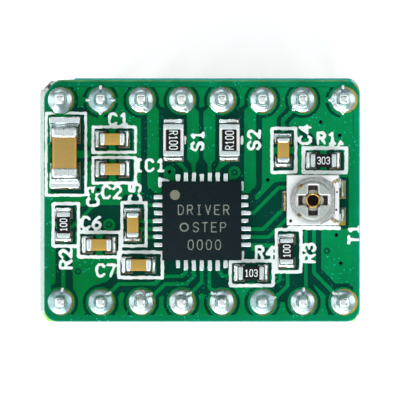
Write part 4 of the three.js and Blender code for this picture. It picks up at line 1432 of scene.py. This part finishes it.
def make_resistor(node, dice):
    low, high = box_mm(node)
    axis, across = chip_axes(low, high)
    sense = node in SENSE
    end_length = 0.36 if sense else 0.3
    body_low, body_high = list(low), list(high)
    body_low[axis] += 0.03
    body_high[axis] -= 0.03
    body_high[2] -= 0.03
    piece(f"{node}_body", bevelled_box(body_low, body_high, 0.02, 1), "alumina",
          replaces=[node], sharp=40)
    # The glaze laps over the ends, and leaves pale edges on the sense resistors only.
    margin, far_margin = (0.16, 0.19) if sense else (-0.005, -0.005)
    glaze_low, glaze_high = [0, 0, high[2] - 0.08], [0, 0, high[2] + 0.012]
    glaze_low[axis] = low[axis] + end_length - 0.02
    glaze_high[axis] = high[axis] - end_length + 0.02
    glaze_low[across] = low[across] + margin
    glaze_high[across] = high[across] - far_margin
    piece(f"{node}_glaze", bevelled_box(glaze_low, glaze_high, 0.03, 3), "glaze", sharp=60)
    ends = Shape()
    for end_low, end_high in end_boxes(low, high, axis, end_length):
        end_low[across] += 0.01
        end_high[across] -= 0.01
        ends.add_shape(bevelled_box(end_low, end_high, 0.06, 3))
    piece(f"{node}_ends", ends, "cap_end", sharp=60)
    chip_solder(node, 0.18, 0.17, dice)
    text, turn = VALUE_CODES[node]
    size, width, gap = (0.5, 0.42, 0.2) if sense else (0.42, 0.46, 0.22)
    x, y, _ = centre_mm(node)
    plan = Plan(x - 1.0, x + 1.0, y - 1.0, y + 1.0, 0.012)
    write(plan, text, x, y, size, turn, 0.056, width, gap)
    layer(f"{node}_code", plan.soften(0.018), glaze_high[2], [(0, -0.004), (0.004, 0.006)], "legend",
          0.003)


def make_chips():
    dice = np.random.default_rng(33)
    for node in CAPACITORS:
        make_capacitor(node, dice)
    for node in RESISTORS + SENSE:
        make_resistor(node, dice)


# ------------------------------------------------------------------ driver chip


def make_driver():
    piece("driver_package", bevelled_box(DRIVER_LOW, DRIVER_HIGH, 0.035, 2), "compound",
          replaces=["driver_body"], sharp=50)
    face = DRIVER_HIGH[2]
    plan = Plan(DRIVER_LOW[0], DRIVER_HIGH[0], DRIVER_LOW[1], DRIVER_HIGH[1], 0.015)
    for text, x, y in (("DRIVER", 0.11, 0.69), ("STEP", 0.48, -0.40), ("0000", 0.16, -1.50)):
        write(plan, text, DRIVER_X + x, DRIVER_Y + y, 0.58, line=0.066, width=0.54, gap=0.44)
    ring = (DRIVER_X - 1.1, DRIVER_Y - 0.40)
    plan.disc(*ring, 0.29).minus(plan.blank().disc(*ring, 0.2)).soften(0.02).roughen(0.012, 0.06, 2)
    layer("driver_marking", plan, face, [(0, -0.004), (0.003, 0.004)], "marking", 0.004)
    dot = Plan(DRIVER_LOW[0], DRIVER_X, DRIVER_Y, DRIVER_HIGH[1], 0.02)
    dot.disc(DRIVER_X - 1.68, DRIVER_Y + 1.62, 0.315)
    layer("driver_pin_one", dot, face, [(0, -0.004), (0.004, 0.005)], "dot", 0.003)
    lands = rectangles(driver_lands(), corner=0.05).roughen(0.02, 0.17, 14)
    rings = [(0, -0.01), (0.002, 0.06), (0.016, 0.1), (0.045, 0.12)]
    layer("driver_land_solder", lands, TOP, rings, "pin_tip", 0.004)
    # The ends of the leads stand a little proud of the body's sides.
    proud, depth, half = 0.012, 0.1, LEAD_WIDTH / 2 - 0.02
    low_z, high_z = DRIVER_LOW[2] + 0.01, DRIVER_LOW[2] + 0.22
    feet = Shape()
    for offset in LEAD_OFFSETS:
        x, y = DRIVER_X + offset, DRIVER_Y + offset
        for near in (DRIVER_LOW[1] - proud, DRIVER_HIGH[1] + proud - depth):
            feet.add_shape(bevelled_box((x - half, near, low_z), (x + half, near + depth, high_z), 0.02, 1))
        for near in (DRIVER_LOW[0] - proud, DRIVER_HIGH[0] + proud - depth):
            feet.add_shape(bevelled_box((near, y - half, low_z), (near + depth, y + half, high_z), 0.02, 1))
    piece("driver_leads", feet, "tin", sharp=50)


# ------------------------------------------------------------------ trimmer

ROTOR_LOW, ROTOR_HIGH = box_mm("trimmer_rotor")
BASE_LOW, BASE_HIGH = box_mm("trimmer_base")
TRIMMER_X, TRIMMER_Y, _ = centre_mm("trimmer_eyelet")
ROTOR_RADIUS = ROTOR_HIGH[1] - TRIMMER_Y
ROTOR_FLAT = ROTOR_HIGH[0] - TRIMMER_X
CROSS_HALF = 0.29
CROSS_REACH = 0.93
CROSS_BEVEL = 0.1
CROWN_RADIUS = 1.16
WIPER_RADIUS = 0.66


def trimmer_plan():
    return Plan(TRIMMER_X - 2.3, TRIMMER_X + 2.3, TRIMMER_Y - 2.3, TRIMMER_Y + 2.3, 0.015)


def rivet_disc(radius):
    return trimmer_plan().disc(TRIMMER_X, TRIMMER_Y, radius)


def from_rivet(x, y):
    return np.hypot(x - TRIMMER_X, y - TRIMMER_Y)


def cross_opening(grow=0.0, ends=0.0):
    """The screwdriver cross in the rotor. ends makes its left and right arms longer."""
    half, reach = CROSS_HALF + grow, CROSS_REACH + grow
    plan = rivet_disc(0.53 + grow).bar(TRIMMER_X, TRIMMER_Y, reach + ends, half, 0.05)
    return plan.bar(TRIMMER_X, TRIMMER_Y, half, reach, 0.05).soften(0.08)


def mottled(x, y):
    """Picks the second of two materials in small uneven patches."""
    return np.sin(31 * x + 2.1 * np.sin(19 * y)) * np.sin(27 * y + 1.3) > 0.12


def spot_plan(x, y, angle, half_length, width, rough, seed):
    """An uneven, longish spot on the trimmer."""
    ends = placed([(-half_length, 0), (half_length, 0)], x, y, angle)
    return trimmer_plan().stroke(ends, width).roughen(rough, 0.09, seed)


def make_rotor():
    bottom, top = ROTOR_LOW[2], ROTOR_HIGH[2]
    flat_side = trimmer_plan().rectangle(TRIMMER_X - 3, TRIMMER_X + ROTOR_FLAT, TRIMMER_Y - 3, TRIMMER_Y + 3)
    outer = rivet_disc(ROTOR_RADIUS - 0.01).within(flat_side).soften(0.03)
    lip = cross_opening(CROSS_BEVEL, 0.05)
    disc = outer.copy().minus(cross_opening())
    rim_height, crown_height = top - bottom - 0.14, top - bottom - 0.02

    def height(x, y):
        radius = from_rivet(x, y)
        rise = 1 - eased(radius, CROWN_RADIUS - 0.04, CROWN_RADIUS + 0.05)
        level = rim_height + (crown_height - rim_height) * rise - 0.02 * eased(radius, 0.5, CROWN_RADIUS)
        level -= 0.05 * (1 - rounded_edge(outer.sample(x, y), 0.07))
        bevel = np.clip(lip.sample(x, y) / CROSS_BEVEL, 0, 1)
        return bottom + level + 0.02 * eased(bevel, 0, 0.35) - 0.16 * bevel ** 1.5

    # The cross's bevel takes the bright edge material: a painted highlight.
    def paint(x, y):
        return np.where(lip.sample(x, y) > 0.01, 2, from_rivet(x, y) < CROWN_RADIUS)

    creases = lip.copy().within(lip, 0.01).outlines(0.003) + rivet_disc(CROWN_RADIUS).outlines(0.003)
    shape = moulded(disc, bottom, height, 0.045, 0.002, paint, creases)
    piece("trimmer_rotor_disc", shape, ["steel_rim", "steel", "rotor_edge"], "rotor",
          replaces=["trimmer_rotor"], sharp=55)
    spots = Shape()
    for x, y, angle, size, seed in ((-0.83, 0.86, 0.5, 0.3, 6), (-0.9, -0.95, -0.5, 0.2, 9)):
        plan = spot_plan(TRIMMER_X + x, TRIMMER_Y + y, angle, 0.35 * size, 0.7 * size, 0.055, seed)
        base = bottom + crown_height - 0.03
        spots.add_shape(moulded(
            plan, bottom + 0.1, lambda u, v: base + 0.06 * np.clip(plan.sample(u, v) / 0.1, 0, 1),
            0.03, 0.004, mottled,
        ))
    piece("trimmer_rotor_spots", spots, ["stain", "old_flux"], "rotor")


def make_wiper():
    """The spring under the rotor: a small cross, and an arm that runs on the track."""
    low, high = box_mm("trimmer_wiper")
    half = CROSS_HALF - 0.03
    plan = trimmer_plan().bar(TRIMMER_X, TRIMMER_Y, 0.8, half).bar(TRIMMER_X, TRIMMER_Y, half, 0.8)
    plan.within(rivet_disc(WIPER_RADIUS)).soften(0.03)
    plan.rectangle(TRIMMER_X + 0.6, high[0], TRIMMER_Y - 0.09, TRIMMER_Y + 0.09, 0.03)
    plan.minus(rivet_disc(0.44))
    arm_start = TRIMMER_X + WIPER_RADIUS + 0.02
    arm_side = plan.blank().rectangle(arm_start, high[0] + 0.1, TRIMMER_Y - 0.2, TRIMMER_Y + 0.2)
    # Past arm_start the arm takes the dark track material: painted shade for the rotor's slot above it.
    shape = moulded(
        plan, low[2], lambda x, y: high[2] - 0.05 * eased(from_rivet(x, y), 0.5, WIPER_RADIUS),
        0.05, 0.002, lambda x, y: x > arm_start, arm_side.outlines(0.003),
    )
    piece("trimmer_wiper_spring", shape, ["spring", "track"], "rotor", replaces=["trimmer_wiper"],
          sharp=50)


def make_eyelet():
    low, high = box_mm("trimmer_eyelet")
    bottom, top = low[2], high[2]
    profile = [
        (0.325, bottom), (0.4, bottom), (0.4, top - 0.1), (0.455, top - 0.08), (0.47, top - 0.045),
        (0.455, top - 0.01), (0.42, top), (0.375, top - 0.01), (0.34, top - 0.05), (0.325, top - 0.12),
        (0.325, bottom),
    ]
    shape = lathe(profile, 48, (TRIMMER_X, TRIMMER_Y))
    piece("trimmer_rivet", shape, "brass", replaces=["trimmer_eyelet"], sharp=60)
    # A near-black floor down the rivet's hole: painted shade.
    profile = [(0, bottom + 0.05), (0.324, bottom + 0.05), (0.324, bottom + 0.12), (0, bottom + 0.1)]
    shape = lathe(profile, 32, (TRIMMER_X, TRIMMER_Y))
    piece("trimmer_rivet_floor", shape, "soot", sharp=60)


def make_trimmer_base():
    low, high = BASE_LOW, BASE_HIGH
    plan = trimmer_plan().rectangle(low[0], high[0], low[1], high[1], 0.06).minus(rivet_disc(0.41))
    shape = raised(plan, [(0.04, low[2]), (0, low[2] + 0.05), (0, high[2] - 0.05), (0.05, high[2])], 0.003)
    # The raised right side, which wraps round the recess that the rotor turns in.
    recess = [(0.48, 1.50), (1.15, 1.14), (1.36, 0.95), (1.36, -1.02), (1.12, -1.16), (0.45, -1.48)]
    wall = [(TRIMMER_X + x, TRIMMER_Y + y) for x, y in recess]
    wall += [(TRIMMER_X + 0.45, low[1] + 0.03), (high[0] - 0.02, low[1] + 0.03)]
    wall += [(high[0] - 0.02, high[1] - 0.03), (TRIMMER_X + 0.48, high[1] - 0.03)]
    rings = [(0, high[2] - 0.02), (0, high[2] + 0.1), (0.03, high[2] + 0.14)]
    shape.add_shape(raised(trimmer_plan().polygon(wall), rings, 0.003))
    piece("trimmer_ceramic_base", shape, "ceramic", replaces=["trimmer_base"])
    # Near-black discs on three small pits in the base: painted shade.
    pits = Shape()
    for x, y, radius, face in ((-1.4, -1.29, 0.1, 0), (1.5, 0.52, 0.055, 0.14), (1.46, -0.59, 0.065, 0.14)):
        height = high[2] + face
        profile = [(radius + 0.012, height - 0.01), (radius, height + 0.004), (0, height + 0.003)]
        pits.add_shape(lathe(profile, 20, (TRIMMER_X + x, TRIMMER_Y + y)))
    piece("trimmer_base_pits", pits, "soot")
    low, high = box_mm("trimmer_track")
    # The dark track runs in to the rivet, which also gives painted shade in the gaps round the wiper's cross.
    gap = [(TRIMMER_X, TRIMMER_Y), (TRIMMER_X + 2, TRIMMER_Y - 0.24), (TRIMMER_X + 2, TRIMMER_Y + 0.24)]
    plan = rivet_disc(1.24).minus(rivet_disc(0.43)).minus(trimmer_plan().polygon(gap))
    layer("trimmer_resistance_track", plan, low[2], [(0, 0), (0.01, high[2] - low[2])], "track",
          0.003, ["trimmer_track"])


def make_trimmer_terminals():
    sheet = 0.1
    low, high = box_mm("trimmer_wiper_terminal")
    shape = bevelled_box(low, (high[0], high[1], low[2] + sheet), 0.02, 2)
    plan = trimmer_plan().rectangle(low[0] + 0.01, low[0] + 0.13, low[1], high[1], 0.04)
    plan.roughen(0.035, 0.25, 17)
    shape.add_shape(moulded(plan, low[2], cushion(plan, high[2], 0.05, 0.05), 0.03, 0.004, mottled))
    piece("trimmer_wiper_lug", shape, ["gilt_lug", "brass"], replaces=["trimmer_wiper_terminal"],
          sharp=50)
    for letter in "ab":
        low, high = box_mm(f"trimmer_end_terminal_{letter}")
        shape = bevelled_box((high[0] - sheet, low[1], low[2]), high, 0.03, 2)
        for bottom in (high[2] - sheet, low[2]):
            arm = bevelled_box((low[0], low[1], bottom), (high[0] - 0.02, high[1], bottom + sheet), 0.03, 2)
            shape.add_shape(arm)
        piece(f"trimmer_end_clip_{letter}", shape, "tin",
              replaces=[f"trimmer_end_terminal_{letter}"], sharp=50)


def make_trimmer_solder():
    """Lumps of solder at the trimmer's three terminals, and the crumpled folds of its end clips."""
    chip = (BASE_LOW[0] - 0.05, BASE_HIGH[0] + 0.1, BASE_LOW[1], BASE_HIGH[1])
    lumps = {5: (8.5, 8.97, 0.2, 1.36), 6: (8.5, 9.0, -1.36, -0.44), 8: (5.03, 5.4, -0.62, 0.5)}
    shape = Shape()
    for seed, land in lumps.items():
        shape.add_shape(solder_lands([land], chip, 0.34, 0.34, seed, film=0.16, corner=0.14))
    piece("trimmer_solder", shape, ["bright_tin", "crevice"], sharp=80)
    top = BASE_HIGH[2] + 0.17
    folds = Shape()
    for x, y, angle, seed in ((8.44, 1.25, 0.5, 3), (8.36, -1.24, -0.4, 7)):
        plan = spot_plan(x, y, angle, 0.15, 0.25, 0.045, seed)
        folds.add_shape(moulded(plan, top - 0.1, cushion(plan, top, 0.05, 0.09), 0.03, 0.004, mottled))
    piece("trimmer_clip_folds", folds, ["gilt_lug", "old_flux"], sharp=50)


# ------------------------------------------------------------------ underside

UNDERSIDE_RUNS = [
    [(-8.89, 5.4), (-8.89, 3.2), (-6.52, 0.72)],
    [(-6.35, 5.4), (-6.35, 3.4), (-3.2, 0.2), (-3.2, -2.6), (-5.2, -4.6), (-6.35, -5.4)],
    [(3.81, 5.4), (3.81, 3.9), (2.05, 1.8)],
    [(4.15, 1.34), (5.6, -0.1), (5.6, -4.0), (6.35, -5.4)],
    [(7.47, 4.98), (7.47, 1.8), (8.46, -2.12)],
]


def make_underside():
    rings = [(0, 0.005), (0, -0.006), (0.01, -MASK_HEIGHT)]
    layer("mask_bottom", mask_area().minus(pin_discs(0.9)), UNDER, rings, "mask")
    signal = strokes([(run, 0.3) for run in UNDERSIDE_RUNS]).union(discs(OPEN_VIAS + TENTED_VIAS, 0.34))
    pour = BOARD_PLAN.blank().bar(0, 0, 9.6, 4.9, 0.2).minus(signal, 0.22).union(signal)
    pour.minus(discs(OPEN_VIAS, VIA_RADIUS + 0.03)).soften(0.05)
    layer("copper_bottom", pour, UNDER, [(inset, -rise) for inset, rise in COPPER_RINGS], "copper")
    land = BOARD_PLAN.blank().bar(0, DRIVER_Y, 1.5, 1.5, 0.1)
    layer("heat_land_bottom", land, UNDER, [(0, -0.04), (0.02, -0.08)], "tin")
    slug = bevelled_box(*box_mm("driver_thermal_pad"), 0.03, 1)
    piece("driver_heat_slug", slug, "tin", replaces=["driver_thermal_pad"], sharp=50)


# ------------------------------------------------------------------ stage, light and camera


def make_floor():
    """A pale sheet that glows a little more away from the object, so its shadow stays soft."""
    half = 0.6
    corners = [(-half, -half, 0), (half, -half, 0), (half, half, 0), (-half, half, 0)]
    mesh = bpy.data.meshes.new("floor")
    mesh.from_pydata(corners, [], [(0, 1, 2, 3)])
    material, tree = new_tree("pale_floor")
    distance = add_node(tree, "VectorMath", "Value", {0: coordinate(tree)}, operation="LENGTH")
    mesh.materials.append(finished(
        material, ramp(tree, noise(tree, 60, 2.0), (0.3, 0.93), (0.7, 0.95)), 0.8, None, 0,
        Emission_Color=(1, 1, 1), Emission_Strength=remap(tree, distance, 0.03, 0.30, 0.40, 0.95),
    ))
    floor = bpy.data.objects.new("floor", mesh)
    bpy.context.scene.collection.objects.link(floor)


def area_light(name, place, target, size, power):
    data = bpy.data.lights.new(name, "AREA")
    data.shape = "RECTANGLE"
    data.size, data.size_y = size
    data.energy = power
    light = bpy.data.objects.new(name, data)
    light.location = place
    direction = Vector(target) - Vector(place)
    light.rotation_euler = direction.to_track_quat("-Z", "Y").to_euler()
    bpy.context.scene.collection.objects.link(light)


def make_lights():
    """A pale studio: softboxes in front, left and right, and a sky that is dim half way up, so
    that the metal shows its shape."""
    world = bpy.data.worlds.new("studio")
    bpy.context.scene.world = world
    world.use_nodes = True
    tree = world.node_tree
    sky = ramp(tree, coordinate(tree, "Z", "Generated"), (0.0, (0.50, 0.52, 0.52)),
               (0.22, (0.44, 0.47, 0.47)), (0.42, (0.22, 0.25, 0.25)), (0.80, (0.28, 0.31, 0.31)),
               (0.93, (0.88, 0.91, 0.92)))
    behind = ramp(tree, coordinate(tree, "Y", "Generated"), (0.0, 1), (0.55, (0.50, 0.53, 0.54)))
    seen = add_node(tree, "LightPath", "Is Camera Ray", {})
    feed(tree.nodes["Background"].inputs["Color"], mix(tree, seen, times(tree, sky, behind), (1.0, 1.0, 1.0)))
    middle = (0, 0, 0.01)
    area_light("front", (-0.06, -0.26, 0.17), middle, (0.40, 0.15), 0.98)
    area_light("left", (-0.27, 0.02, 0.16), middle, (0.20, 0.34), 0.28)
    area_light("right", (0.26, 0.06, 0.20), middle, (0.20, 0.32), 0.30)
    area_light("back", (-0.04, 0.20, 0.30), middle, (0.14, 0.10), 0.08)


def make_camera():
    """A long lens straight above the board, a hair off its middle, as in the photo."""
    distance = 0.32
    frame_width = 25.14
    data = bpy.data.cameras.new("camera")
    data.sensor_width = 36
    data.lens = data.sensor_width * distance / (frame_width * MM)
    data.clip_end = 10
    camera = bpy.data.objects.new("camera", data)
    camera.location = (-0.113 * MM, 0.066 * MM, TOP * MM + distance)
    bpy.context.scene.collection.objects.link(camera)
    bpy.context.scene.camera = camera
    bpy.context.scene.view_settings.view_transform = "Standard"


make_board()
make_underside()
make_housings()
make_pins()
make_chips()
make_driver()
make_trimmer_base()
make_trimmer_terminals()
make_trimmer_solder()
make_eyelet()
make_wiper()
make_rotor()
make_floor()
make_lights()
make_camera()
